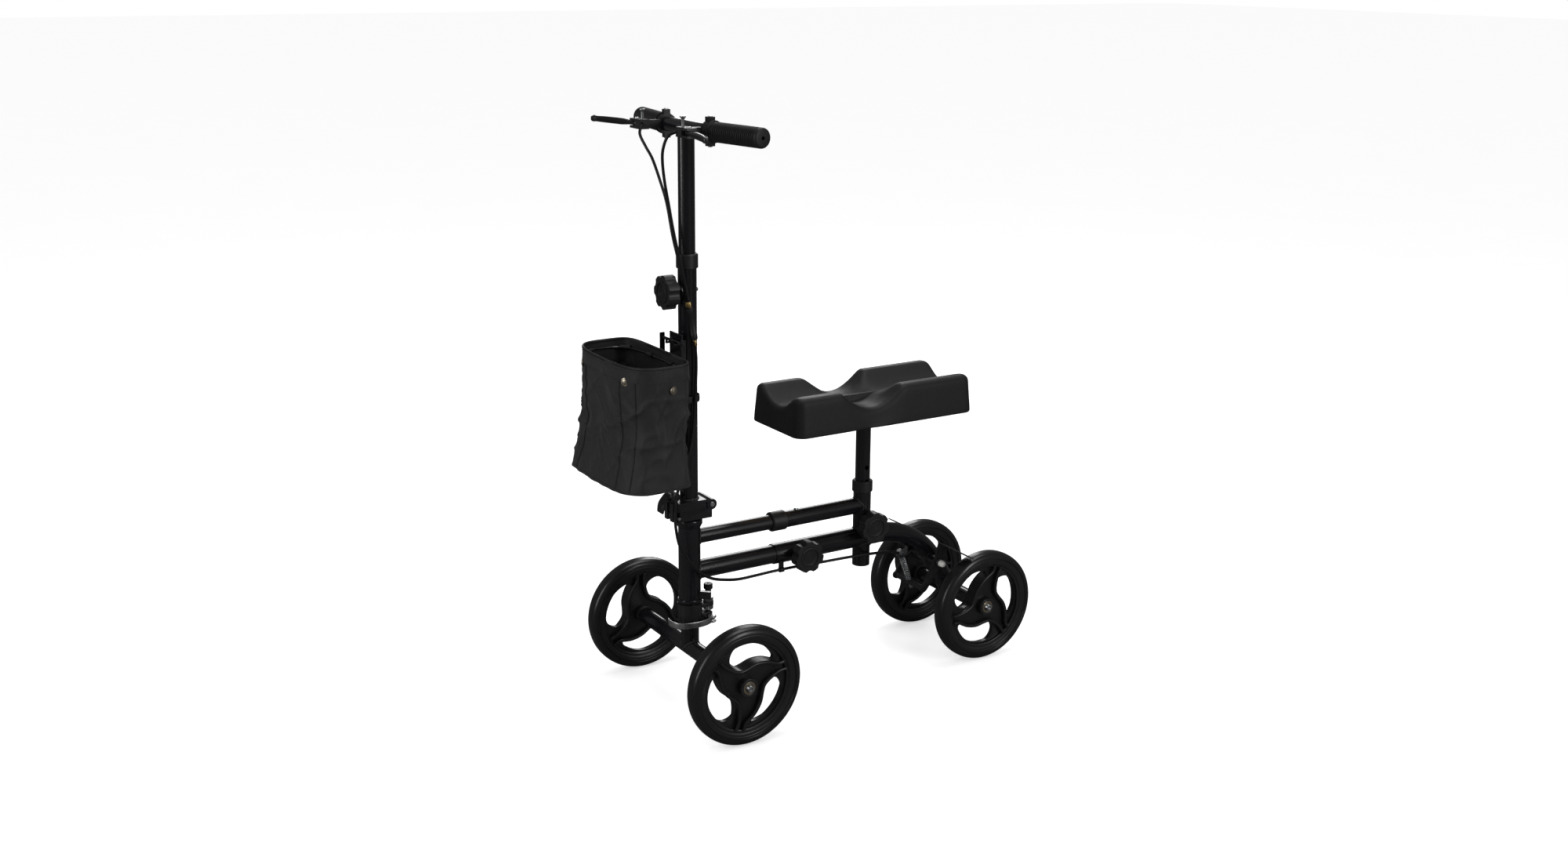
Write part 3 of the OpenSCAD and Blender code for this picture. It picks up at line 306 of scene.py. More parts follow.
def machined(node, body, slot, material, width):
    """A CAD node's own shape, with its edges rounded as tools, moulds and paint leave them."""
    bm = bmesh.new()
    bm.from_mesh(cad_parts[node].data)
    bmesh.ops.remove_doubles(bm, verts=bm.verts, dist=2e-6)
    bmesh.ops.dissolve_limit(bm, angle_limit=math.radians(0.6), verts=bm.verts, edges=bm.edges)
    mesh = bpy.data.meshes.new(node + "_piece")
    bm.to_mesh(mesh)
    bm.free()
    piece = bevelled(as_object(node + "_piece", mesh, material), width)
    return keep(piece, body, slot, node)


for node in ("rear_upper_tube", "rear_lower_tube", "seat_tube", "rear_axle_beam"):
    machined(node, "rear_frame", "black_paint", powder_coat, 0.5)

# ---- Weld beads ----------------------------------------------------------------------
# Every joint of two tubes has a bead round it, laid in small overlapping puddles and
# coated with the tubes. One tree lays puddles along any path.


def geometry_tree(name, numbers):
    tree = bpy.data.node_groups.new(name, "GeometryNodeTree")
    tree.interface.new_socket("Geometry", in_out="INPUT", socket_type="NodeSocketGeometry")
    for number, value in numbers:
        socket = tree.interface.new_socket(number, in_out="INPUT", socket_type="NodeSocketFloat")
        socket.default_value = value
    tree.interface.new_socket("Material", in_out="INPUT", socket_type="NodeSocketMaterial")
    tree.interface.new_socket("Geometry", in_out="OUTPUT", socket_type="NodeSocketGeometry")
    return tree, tree.nodes.new("NodeGroupInput"), tree.nodes.new("NodeGroupOutput")


def settled(tree, last, output, target):
    """Ends a tree: instances made real, smooth faces, one material."""
    real = tree.nodes.new("GeometryNodeRealizeInstances")
    shade = tree.nodes.new("GeometryNodeSetShadeSmooth")
    paint = tree.nodes.new("GeometryNodeSetMaterial")
    wired(tree, (last, output, real, 0), (real, 0, shade, "Geometry"), (shade, 0, paint, "Geometry"),
          (tree.nodes["Group Input"], "Material", paint, "Material"), (paint, 0, target, 0))


def along_paths(name, numbers):
    """A tree that sets one piece after another along paths, a Spacing apart."""
    tree, enter, leave = geometry_tree(name, numbers)
    curve = tree.nodes.new("GeometryNodeMeshToCurve")
    points = tree.nodes.new("GeometryNodeCurveToPoints")
    points.mode = "LENGTH"
    placing = tree.nodes.new("GeometryNodeInstanceOnPoints")
    wired(tree, (enter, "Geometry", curve, "Mesh"), (curve, 0, points, "Curve"),
          (enter, "Spacing", points, "Length"), (points, "Points", placing, "Points"))
    settled(tree, placing, 0, leave)
    return tree, enter, points, placing


def built(name, tree, start_mesh, values, material):
    """Runs a tree on a starting mesh and keeps the result as a plain mesh."""
    carrier = bpy.data.objects.new(name + "_start", start_mesh)
    scene.collection.objects.link(carrier)
    modifier = carrier.modifiers.new("build", "NODES")
    modifier.node_group = tree
    sockets = {item.name: item.identifier for item in tree.interface.items_tree
               if item.in_out == "INPUT"}
    for key, value in values.items():
        modifier[sockets[key]] = value
    modifier[sockets["Material"]] = material
    depsgraph = bpy.context.evaluated_depsgraph_get()
    mesh = bpy.data.meshes.new_from_object(carrier.evaluated_get(depsgraph))
    carrier.modifiers.remove(modifier)
    bpy.data.objects.remove(carrier)
    mesh.materials.clear()
    mesh.materials.append(material)
    obj = bpy.data.objects.new(name, mesh)
    scene.collection.objects.link(obj)
    return obj


def path_mesh(name, paths, closed):
    """Edges through the points of each path, for a tree to follow."""
    verts = []
    edges = []
    for path in paths:
        first = len(verts)
        verts += [tuple(point) for point in path]
        edges += [(first + k, first + k + 1) for k in range(len(path) - 1)]
        if closed:
            edges.append((len(verts) - 1, first))
    mesh = bpy.data.meshes.new(name)
    mesh.from_pydata(verts, edges, [])
    return mesh


bead_tree, bead_in, _, lay_puddles = along_paths("weld_bead", [("Spacing", 0.0018), ("Radius", 0.0018)])
puddle = bead_tree.nodes.new("GeometryNodeMeshIcoSphere")
puddle.inputs["Subdivisions"].default_value = 2
wired(bead_tree, (bead_in, "Radius", puddle, "Radius"), (puddle, "Mesh", lay_puddles, "Instance"))
ring_steps = 40


def joint_path(centre, along, across, radius, host_radius):
    """Where a round tube, leaving centre along one way, meets a tube that runs across it."""
    along = Vector(along).normalized()
    across = Vector(across).normalized()
    sideways = along.cross(across)
    path = []
    for k in range(ring_steps):
        angle = math.tau * k / ring_steps
        side = radius * math.sin(angle)
        out = math.sqrt(max(host_radius ** 2 - side ** 2, 0))
        step = across * radius * math.cos(angle) + sideways * side + along * out
        path.append(Vector(centre) + step / 1000)
    return path


def ring_path(y, z, radius):
    """A level ring round an upright tube."""
    turns = [math.tau * k / ring_steps for k in range(ring_steps)]
    return [at(radius * math.cos(turn), y + radius * math.sin(turn), z) for turn in turns]


def weld(name, body, paths, radius=1.7):
    puddles = built(name, bead_tree, path_mesh(name, paths, True),
                    {"Spacing": 0.0017, "Radius": radius / 1000}, powder_coat)
    return keep(puddles, body, "black_paint")


seat_y = 343.7
upper_z = 293
lower_z = 234.5
seat_tube_r = 15.4
drop_slope = math.radians(58)
drop_way = (0, -math.cos(drop_slope), math.sin(drop_slope))
brake_y = 482.8
brake_z = 173
wheelbase = 541
weld("rear_frame_welds", "rear_frame", [
    joint_path(at(0, seat_y, upper_z), (0, -1, 0), (0, 0, 1), 14.3, seat_tube_r),
    joint_path(at(0, seat_y, lower_z), (0, 0, 1), (0, 1, 0), seat_tube_r, 17.5),
    joint_path(at(0, seat_y, lower_z), (0, 0, -1), (0, 1, 0), seat_tube_r, 17.5),
    joint_path(at(0, wheelbase, 100), drop_way, (1, 0, 0), 17.5, 14)])
weld("rear_boss_welds", "rear_frame", [
    joint_path(at(0, brake_y, brake_z), (side, 0, 0), drop_way, 8, 17) for side in (-1, 1)], 1.3)

# ---- Collars, guide screw, axle bolts and bearings of the rear frame --------------------
# The collars are black nylon, pushed on the tubes' ends to close the gap round the inner
# tube. Screws, nuts and bolts are zinc plated steel; the bearings keep their steel colour.
nylon = finish("black_nylon", (0.007, 0.007, 0.008), (0.012, 0.012, 0.013), (0.035, 0.035, 0.037),
               (0.36, 0.5), 0.03, 0.0007, 0.00008)
zinc = finish("zinc_plate", (0.52, 0.55, 0.6), (0.74, 0.74, 0.72), (0.86, 0.87, 0.88), (0.2, 0.38), 0.006,
              0.0006, 0.00003, metallic=1.0)
bearing_steel = finish("bearing_steel", (0.42, 0.35, 0.25), (0.6, 0.52, 0.4), (0.7, 0.62, 0.5), (0.25, 0.4),
                       0.01, 0.0008, 0.00003, metallic=1.0)
machined("frame_collars", "rear_frame", "black_plastic", nylon, 1.0)
machined("rear_bearings", "rear_frame", "bearing_steel", bearing_steel, 0.4)
for node, width in (("upper_guide_screw", 0.3), ("rear_axle_bolts", 0.35), ("brake_pivot_bolt", 0.5),
                    ("brake_adjuster", 0.3)):
    machined(node, "rear_frame", "zinc_steel", zinc, width)


def bridge(bm, here, there):
    """A band of faces between two closed rings of as many points."""
    count = len(here)
    return [bm.faces.new((here[k], here[(k + 1) % count], there[(k + 1) % count], there[k]))
            for k in range(count)]


def solid(name, bm, material, smooth_angle):
    """An object from a finished bmesh, with its faces turned outwards."""
    bmesh.ops.recalc_face_normals(bm, faces=bm.faces)
    mesh = bpy.data.meshes.new(name)
    bm.to_mesh(mesh)
    bm.free()
    return as_object(name, mesh, material, smooth_angle)


def ring_of(bm, centre, axis, profile, sides):
    """Turns a closed outline of (radius, distance along the axis), in millimetres, about an axis."""
    axis = Vector(axis).normalized()
    other = Vector((0, 0, 1)) if abs(axis.z) < 0.9 else Vector((1, 0, 0))
    u = axis.cross(other).normalized()
    v = axis.cross(u)
    rings = []
    for k in range(sides):
        angle = math.tau * k / sides
        out = u * math.cos(angle) + v * math.sin(angle)
        rings.append([bm.verts.new(Vector(centre) + (out * r + axis * s) / 1000) for r, s in profile])
    for k in range(sides):
        bridge(bm, rings[k], rings[(k + 1) % sides])


def turned(name, material, parts, sides=64, smooth_angle=35):
    """Pieces turned on a lathe; each part is a centre, an axis and a closed outline."""
    bm = bmesh.new()
    for centre, axis, profile in parts:
        ring_of(bm, centre, axis, profile, sides)
    bmesh.ops.remove_doubles(bm, verts=bm.verts, dist=1e-7)
    return solid(name, bm, material, smooth_angle)


# ---- Wheels ------------------------------------------------------------------------
# A glass-filled nylon wheel with three openings between curved ribs, a solid rubber tyre
# pressed over it, and a stepped flange on each side that holds the tyre's wall.
rubber = finish("tyre_rubber", (0.005, 0.005, 0.0055), (0.009, 0.009, 0.0095), (0.02, 0.02, 0.02),
                (0.24, 0.36), 0.05, 0.0009, 0.00004, coat=0.12)
wheel_nylon = finish("wheel_nylon", (0.006, 0.006, 0.007), (0.011, 0.011, 0.012), (0.03, 0.03, 0.033),
                     (0.26, 0.4), 0.04, 0.0008, 0.00007)


def loft(name, stations, sides, power, material):
    """A solid through rounded sections; each is a centre, its two half sizes and its two ways."""
    bm = bmesh.new()
    rings = []
    for centre, half_u, half_v, way_u, way_v in stations:
        ring = []
        for k in range(sides):
            angle = math.tau * k / sides
            c = math.cos(angle)
            s = math.sin(angle)
            u = math.copysign(abs(c) ** power, c) * half_u
            v = math.copysign(abs(s) ** power, s) * half_v
            ring.append(bm.verts.new(Vector(centre) + (Vector(way_u) * u + Vector(way_v) * v) / 1000))
        rings.append(ring)
    for here, there in zip(rings, rings[1:]):
        bridge(bm, here, there)
    bm.faces.new(rings[0][::-1])
    bm.faces.new(rings[-1])
    return solid(name, bm, material, 50)


def smooth_line(route, steps):
    """A curve through every point of a route, in metres."""
    points = [at(*p) for p in route]
    line = []
    for i in range(len(points) - 1):
        a = points[max(i - 1, 0)]
        b = points[i]
        c = points[i + 1]
        d = points[min(i + 2, len(points) - 1)]
        for k in range(steps):
            t = k / steps
            line.append(0.5 * (2 * b + (c - a) * t + (2 * a - 5 * b + 4 * c - d) * t * t
                               + (3 * b - a - 3 * c + d) * t ** 3))
    return line + [points[-1]]


def tube_along(name, line, radius, material, sides=14):
    """A round tube, closed at both ends, along a line; radius is in millimetres."""
    stations = []
    side_way = Vector((1, 0, 0))
    for i, point in enumerate(line):
        ahead = (line[min(i + 1, len(line) - 1)] - line[max(i - 1, 0)]).normalized()
        side_way = (side_way - ahead * side_way.dot(ahead)).normalized()
        stations.append((point, radius, radius, side_way, ahead.cross(side_way)))
    return loft(name, stations, sides, 1.0, material)


wheel_r = 100
front_track = 359
rear_track = 198
tyre_half = 15.5
flange_half = 13
tyre_outline = [(84, flange_half - 1.5), (87.6, flange_half + 0.3), (88.4, flange_half + 1.2)]
for k in range(1, 36):
    turn = math.radians(5 * k)
    spread = abs(math.cos(turn)) ** 0.7 * tyre_half
    tyre_outline.append((87 + 13 * math.sin(turn) ** 0.8, math.copysign(spread, math.cos(turn))))
tyre_outline += [(88.4, -flange_half - 1.2), (87.6, -flange_half - 0.3), (84, -flange_half + 1.5)]
flange_outline = [(74, 9.4), (76, 9.9), (76.6, 10.6), (77.2, 11.2), (80, 11.5), (80.6, 12.2),
                  (81.2, 12.7), (83.4, 12.8), (84, 13.3), (84.6, 13.6), (87, 13.5), (87.8, 12.9),
                  (87.6, 11.5), (83, 11), (79, 9), (75, 8)]
# The rounded edge of each curved rib, from the rim past the hub to the rim: how far out it is,
# as a share of the way from the hub to the rim, and at which angle.
hub_edge_r = 15.5
rim_reach = 55.5
rib_line = ((1.02, 133), (0.82, 134), (0.5, 130), (0.28, 116), (0.26, 94), (0.42, 66), (0.62, 44),
            (0.84, 27), (1.02, 24))


def joined(name, pieces):
    """One object from several of the same finish."""
    bm = bmesh.new()
    for piece in pieces:
        bm.from_mesh(piece.data)
    mesh = pieces[0].data.copy()
    mesh.name = name
    bm.to_mesh(mesh)
    bm.free()
    material = pieces[0].data.materials[0]
    for piece in pieces:
        bpy.data.objects.remove(piece)
    return as_object(name, mesh, material, 50)


for node, track, axle_y, spin in (("front_left", front_track, 0, 0), ("front_right", -front_track, 0, 75),
                                  ("rear_left", rear_track, wheelbase, 52),
                                  ("rear_right", -rear_track, wheelbase, 100)):
    hub = at(track / 2, axle_y, wheel_r)
    body = "wheel_" + node
    tyre = turned("tyre_tread_" + node, rubber, [(hub, (1, 0, 0), tyre_outline)], 128)
    keep(tyre, body, "tyre_rubber", "tyre_" + node)
    machined("rim_" + node, body, "rim_plastic", wheel_nylon, 1.1)
    flanges = [(hub, (side, 0, 0), flange_outline) for side in (-1, 1)]
    keep(turned("rim_flanges_" + node, wheel_nylon, flanges, 128), body, "rim_plastic")
    collars = [(hub, (side, 0, 0), [(11.3, 15), (15.3, 15), (15.5, 15.4), (15.2, 16.2), (14.6, 16.5),
                                    (12.2, 16.5), (11.6, 16.2)]) for side in (-1, 1)]
    keep(turned("hub_lips_" + node, wheel_nylon, collars, 48), body, "rim_plastic")
    edges = []
    for side in (-1, 1):
        for third in (0, 120, 240):
            places = []
            for reach, angle in rib_line:
                around = math.radians(angle + third + spin)
                out = hub_edge_r + reach * rim_reach
                places.append((track / 2 + side * 10.6, axle_y + out * math.cos(around),
                               wheel_r + out * math.sin(around)))
            edges.append(smooth_line(places, 6))
    rounded = [tube_along("rib_edge", line, 3.1, wheel_nylon, 12) for line in edges]
    keep(joined("rib_edges_" + node, rounded), body, "rim_plastic")

# ---- Front frame --------------------------------------------------------------------
# The inner tubes slide in the rear frame's tubes. Both are welded to the head tube, which
# holds a pressed steel bearing cup at each end.
for node in ("front_upper_tube", "front_lower_tube", "head_tube"):
    machined(node, "front_frame", "black_paint", powder_coat, 0.5)
machined("head_cups", "front_frame", "black_paint", powder_coat, 1.2)
weld("front_frame_welds", "front_frame", [
    joint_path(at(0, 0, upper_z), (0, 1, 0), (0, 0, 1), 12.5, 18.3),
    joint_path(at(0, 0, lower_z), (0, 1, 0), (0, 0, 1), 15.8, 18.3)])

# ---- Steering ------------------------------------------------------------------------
# The steerer turns in the head tube. It is welded to the front axle beam below and to the
# fold hinge's plate above; a split clamp with a stop screw and a lever grips it.
forged = finish("satin_black_steel", (0.006, 0.006, 0.0065), (0.011, 0.011, 0.012), (0.05, 0.05, 0.05),
                (0.3, 0.44), 0.02, 0.0009, 0.00008)
aluminium = finish("brushed_aluminium", (0.6, 0.6, 0.6), (0.8, 0.8, 0.79), (0.9, 0.9, 0.9), (0.22, 0.36),
                   0.01, 0.0004, 0.00004, metallic=1.0)
machined("steerer", "steering", "black_paint", powder_coat, 0.5)
machined("front_axle_beam", "steering", "black_paint", powder_coat, 0.5)
machined("steering_clamp", "steering", "black_plastic", forged, 1.0)
machined("front_bearings", "steering", "bearing_steel", bearing_steel, 0.4)
machined("fold_base", "steering", "black_paint", powder_coat, 2.2)
for node, width in (("clamp_bolt", 0.4), ("stop_screw", 0.5), ("fold_pin", 0.5), ("front_axle_bolts", 0.35)):
    machined(node, "steering", "zinc_steel", zinc, width)
screw_y = 35
screw_head = [(2.9, 6.5), (3.1, 9.6), (6.6, 9.6), (7.3, 9.0), (7.3, 0.6), (6.8, 0), (5.3, -0.3), (5.15, -1),
              (5.15, -13.5), (2.9, -13.5)]
keep(turned("stop_screw_head", forged, [(at(0, screw_y, 196.6), (0, 0, 1), screw_head)], 40),
     "steering", "black_plastic")
knurl_count = 30
knurl_r = 7.2
knurls = []
for k in range(knurl_count):
    around = math.tau * k / knurl_count
    foot = at(knurl_r * math.cos(around), screw_y + knurl_r * math.sin(around), 197.6)
    line = [foot, foot + Vector((0, 0, 0.004)), foot + Vector((0, 0, 0.0077))]
    knurls.append(tube_along("knurl", line, 0.42, forged, 6))
keep(joined("stop_screw_knurls", knurls), "steering", "black_plastic")


def ribbon(name, line, half_t, half_h, sides, power, material):
    """A flat strip that stands on edge along a level line; its half sizes are in millimetres."""
    stations = []
    for i, point in enumerate(line):
        ahead = (line[min(i + 1, len(line) - 1)] - line[max(i - 1, 0)]).normalized()
        stations.append((point, half_t, half_h, ahead.cross(Vector((0, 0, 1))), (0, 0, 1)))
    return loft(name, stations, sides, power, material)


clamp_z = 150
clamp_pivot = at(18, 32, clamp_z)
strap_way = ((24, 26), (29, 14), (30.5, 0), (29.5, -13), (25.5, -25), (17.5, -33.5), (6, -37.5), (-4, -37.5),
             (-9, -35.5))
strap = ribbon("clamp_strap", smooth_line([(x, y, clamp_z) for x, y in strap_way], 6), 1.15, 5.3, 20, 0.45,
               aluminium)
eye_outline = [(1.65, -5.4), (6.6, -5.4), (7.2, -4.8), (7.2, -2.6), (6.9, -2.3), (1.65, -2.3)]
eye_top = [(r, -h) for r, h in eye_outline]
eyes = turned("clamp_eyes", aluminium,
              [(clamp_pivot, (0, 0, 1), outline) for outline in (eye_outline, eye_top)], 36)
pivot_outline = [(0.2, -6.2), (2.6, -6.1), (2.8, -5.3), (1.5, -5.3), (1.5, 5.3), (2.8, 5.3), (2.6, 6.1),
                 (0.2, 6.2)]
pivot = turned("clamp_pivot", aluminium, [(clamp_pivot, (0, 0, 1), pivot_outline)], 24)
cheek = [(at(x, y, clamp_z), 2.2, 5.4, (0.75, -0.66, 0), (0, 0, 1))
         for x, y in ((17.5, 25.5), (21, 24.4), (25.5, 25))]
keep(joined("clamp_lever_strap", [strap, eyes, pivot, loft("clamp_cheek", cheek, 16, 0.5, aluminium)]),
     "clamp_lever", "lever_aluminium", "clamp_lever")
weld("steering_welds", "steering", [
    joint_path(at(0, 0, wheel_r), (0, 0, 1), (1, 0, 0), 15, 14),
    ring_path(0, 329.5, 15.4)])

# ---- Column and fold hinge --------------------------------------------------------------
# The column is welded to the hinge's upper plate. A swing bolt with a cam lever holds the
# two plates together; the lever drops to let the column fold.
machined("column_hinge", "column", "black_paint", powder_coat, 2.2)
machined("column_tube", "column", "black_paint", powder_coat, 0.5)
machined("column_collar", "column", "black_plastic", nylon, 1.0)
machined("column_guide_screw", "column", "zinc_steel", zinc, 0.3)
machined("fold_bolt", "fold_bolt", "zinc_steel", zinc, 0.3)
cam_y = -30
cam_z = 370.3
cam_outline = [(2.55, -3.3), (7.2, -3.3), (7.9, -2.6), (7.9, 2.6), (7.2, 3.3), (2.55, 3.3)]
cam_parts = [(at(side * 7.6, cam_y, cam_z), (1, 0, 0), cam_outline) for side in (-1, 1)]
cam = turned("cam_cheeks", nylon, cam_parts, 40)
# Along the thumb piece: how far ahead of the cam, how far above it, half its depth, its lean.
thumb_way = ((5.2, 0.5, 5.0, 1.5), (9, 0.8, 5.4, 1.45), (14, -0.8, 4.6, 1.1), (18.6, -5.4, 3.6, 0.6),
             (21, -12, 3.1, 0.2), (22, -19, 3.0, 0.1), (22.6, -23.5, 2.4, 0.1), (22.8, -25.2, 1.0, 0.1))
thumb = [(at(0, cam_y - ahead, cam_z + rise), tall, 9.6, (0, math.cos(lean), math.sin(lean)), (1, 0, 0))
         for ahead, rise, tall, lean in thumb_way]
keep(joined("cam_lever", [cam, loft("cam_thumb", thumb, 24, 0.55, nylon)]),
     "fold_lever", "lever_black", "fold_lever")
washer_outline = [(3.4, 0), (8.6, 0), (8.8, 0.3), (8.6, 0.7), (3.4, 0.7)]
keep(turned("cam_washer", zinc, [(at(0, cam_y, 361.4), (0, 0, 1), washer_outline)], 40),
     "fold_bolt", "zinc_steel")
weld("column_welds", "column", [ring_path(0, 362.5, 15.2)])

# ---- Clamp knobs ----------------------------------------------------------------------
# Seven-lobed glass-filled nylon knobs moulded on steel studs, with a dished face that has
# fine turned rings round a small centre mark.
knob_nylon = finish("knob_nylon", (0.007, 0.007, 0.0075), (0.012, 0.012, 0.0125), (0.03, 0.03, 0.031),
                    (0.34, 0.46), 0.02, 0.0006, 0.0001)
dish_outline = [(16.8, -0.5), (17.2, 0.6), (15.9, 0.9), (15.2, -1.6), (11.5, -2.2), (11.1, -1.7),
                (10.3, -1.7), (9.9, -2.2), (7.2, -2.2), (6.8, -1.7), (6.1, -1.7), (5.7, -2.2), (3.2, -2.2),
                (2.8, -1.4), (0.4, -1.2), (0.4, -3.4), (12, -3.4)]
knob_reach = 30.3
for node, centre, way in (("seat_knob", at(seat_tube_r + knob_reach, seat_y, 262), (1, 0, 0)),
                          ("frame_knob", at(17.5 + knob_reach, 207, lower_z), (1, 0, 0)),
                          ("column_knob", at(0, -15.1 - knob_reach, 707), (0, -1, 0))):
    machined(node, node, "black_plastic", knob_nylon, 1.6)
    keep(turned(node + "_dish", knob_nylon, [(centre, way, dish_outline)], 56), node, "black_plastic")

# ---- Rear brake ----------------------------------------------------------------------
# Stamped steel arms on a bolt press two shoes on the rear tyres. A wire spring round the
# cable's end pushes them off again.
machined("brake_rocker", "brake_rocker", "black_plastic", forged, 0.7)
spring_tree, spring_in, spring_out = geometry_tree("coil_spring", [
    ("Turns", 11), ("Radius", 0.0048), ("Height", 0.05), ("Wire", 0.0007)])
helix = spring_tree.nodes.new("GeometryNodeCurveSpiral")
helix.inputs["Resolution"].default_value = 28
wire_ring = spring_tree.nodes.new("GeometryNodeCurvePrimitiveCircle")
wire_ring.inputs["Resolution"].default_value = 8
wire_tube = spring_tree.nodes.new("GeometryNodeCurveToMesh")
wire_tube.inputs["Fill Caps"].default_value = True
wired(spring_tree, (spring_in, "Turns", helix, "Rotations"), (spring_in, "Radius", helix, "Start Radius"),
      (spring_in, "Radius", helix, "End Radius"), (spring_in, "Height", helix, "Height"),
      (spring_in, "Wire", wire_ring, "Radius"), (helix, "Curve", wire_tube, "Curve"),
      (wire_ring, "Curve", wire_tube, "Profile Curve"))
settled(spring_tree, wire_tube, "Mesh", spring_out)
spring_top = at(0, 431.8, 181)
spring_foot = at(0, 451.8, 128)
spring_run = spring_foot - spring_top
spring = built("brake_spring_coil", spring_tree, bpy.data.meshes.new("spring_start"),
               {"Turns": 13.0, "Radius": 0.0047, "Height": spring_run.length - 0.0065, "Wire": 0.0007}, zinc)
turn_spring = spring_run.to_track_quat("Z", "X").to_matrix().to_4x4()
spring.data.transform(Matrix.Translation(spring_top + spring_run.normalized() * 0.0008) @ turn_spring)
keep(spring, "rear_frame", "zinc_steel", "brake_spring")
cap_white = finish("white_nylon", (0.72, 0.71, 0.66), (0.8, 0.79, 0.75), (0.85, 0.84, 0.8),
                   (0.35, 0.45), 0.01, 0.0006, 0.00004)
cap_outline = [(0.3, 15.5), (3, 15.3), (4.6, 14.2), (5.3, 12), (5.4, 6.6), (4.9, 6.4), (4.9, 6.6),
               (0.3, 6.6)]
keep(turned("pivot_cap", cap_white, [(at(44, brake_y, brake_z), (1, 0, 0), cap_outline)], 32),
     "rear_frame", "zinc_steel")

# ---- Handlebar ------------------------------------------------------------------------
# The stem slides in the column. The bar across it is bent back a little at each end, and
# carries the grips and the lever clamps.
machined("handlebar", "handlebar", "black_paint", powder_coat, 0.5)
bar_z = 961
sweep = math.radians(9.2)
bar_turn = Vector((46 + 60 * math.sin(sweep), 60 * (1 - math.cos(sweep)), 0))
weld("stem_welds", "handlebar", [
    joint_path(at(0, 0, bar_z), (side, 0, 0), (0, 0, 1), 11, 13.25)[10:31] for side in (-1, 1)], 1.4)
grip_rubber = finish("grip_rubber", (0.005, 0.005, 0.0055), (0.009, 0.009, 0.0095), (0.02, 0.02, 0.02),
                     (0.4, 0.55), 0.02, 0.0006, 0.00008)


def on_bar(side, s):
    """A place on a swept end of the bar, s millimetres past its bend, on the left or the right."""
    x = bar_turn.x + s * math.cos(sweep)
    y = bar_turn.y + s * math.sin(sweep)
    return at(side * x, y, bar_z)


# The grips are moulded rubber: an inner flange, a plain band, then rings to a domed end
# with a small hole in it. The tree sets one ring after another along the grip.
ring_tree, ring_in, ring_points, set_rings = along_paths("grip_rings", [
    ("Spacing", 0.0032), ("Radius", 0.0146), ("Rib", 0.0009)])
ring_curve = ring_tree.nodes.new("GeometryNodeCurvePrimitiveCircle")
ring_curve.inputs["Resolution"].default_value = 48
rib_curve = ring_tree.nodes.new("GeometryNodeCurvePrimitiveCircle")
rib_curve.inputs["Resolution"].default_value = 8
ring_mesh = ring_tree.nodes.new("GeometryNodeCurveToMesh")
wired(ring_tree, (ring_in, "Radius", ring_curve, "Radius"), (ring_in, "Rib", rib_curve, "Radius"),
      (ring_curve, "Curve", ring_mesh, "Curve"), (rib_curve, "Curve", ring_mesh, "Profile Curve"),
      (ring_points, "Rotation", set_rings, "Rotation"), (ring_mesh, "Mesh", set_rings, "Instance"))
grip_start = 23
grip_outline = [(11.05, 0), (16.6, 0), (17.3, 0.8), (17.3, 2.4), (16.6, 3.2), (14.6, 3.8), (14.5, 11),
                (13.6, 12), (13.6, 105), (14.9, 106.5), (15.4, 108.5), (15.4, 112), (14.9, 114),
                (13.6, 115.4), (11.4, 115.9), (3.2, 115.9), (2.6, 115.3), (2.4, 114.6), (2.4, 113),
                (11.05, 113)]
grip_parts = []
grip_lines = []
for side in (-1, 1):
    outward = (side * math.cos(sweep), math.sin(sweep), 0)
    grip_parts.append((on_bar(side, grip_start), outward, grip_outline))
    grip_lines.append([on_bar(side, grip_start + 13.5), on_bar(side, grip_start + 105)])
keep(turned("grip_sleeves", grip_rubber, grip_parts, 56), "handlebar", "grip_rubber", "grips")
keep(built("grip_rings", ring_tree, path_mesh("grip_lines", grip_lines, False),
           {"Spacing": 0.0043, "Radius": 0.0138, "Rib": 0.00165}, grip_rubber),
     "handlebar", "grip_rubber")

# ---- Brake levers ------------------------------------------------------------------------
# Each clamp is die cast in two halves, held on the bar by two screws. The blade is pressed
# steel, thicker at its pivot, with a bulb at its tip; a pin with a flanged head locks it on.
machined("lever_clamps", "handlebar", "lever_black", forged, 0.9)
lever_x = 85
lever_y = -41
screw_outline = [(0.3, 0.9), (1.6, 0.9), (1.7, 2.0), (2.9, 2.0), (3.4, 1.6), (3.5, 0), (0.3, 0)]
clamp_screws = []
for side in (-1, 1):
    for end in (-1, 1):
        clamp_screws.append((on_bar(side, 15) + Vector((0, 0, end * 0.0215)), (0, 0, end), screw_outline))
    clamp_screws.append((at(side * lever_x, lever_y, 969.4), (0, 0, 1), screw_outline))
keep(turned("clamp_screws", zinc, clamp_screws, 24), "handlebar", "zinc_steel")
# Its paler edge tone, set stronger here, is a painted highlight on the blades' outer edges.
lever_paint = finish("black_lever_paint", (0.004, 0.004, 0.0045), (0.008, 0.008, 0.009),
                     (0.09, 0.09, 0.09), (0.22, 0.34), 0.02, 0.0012, 0.00005, coat=0.3, edge_highlight_amount=0.8)
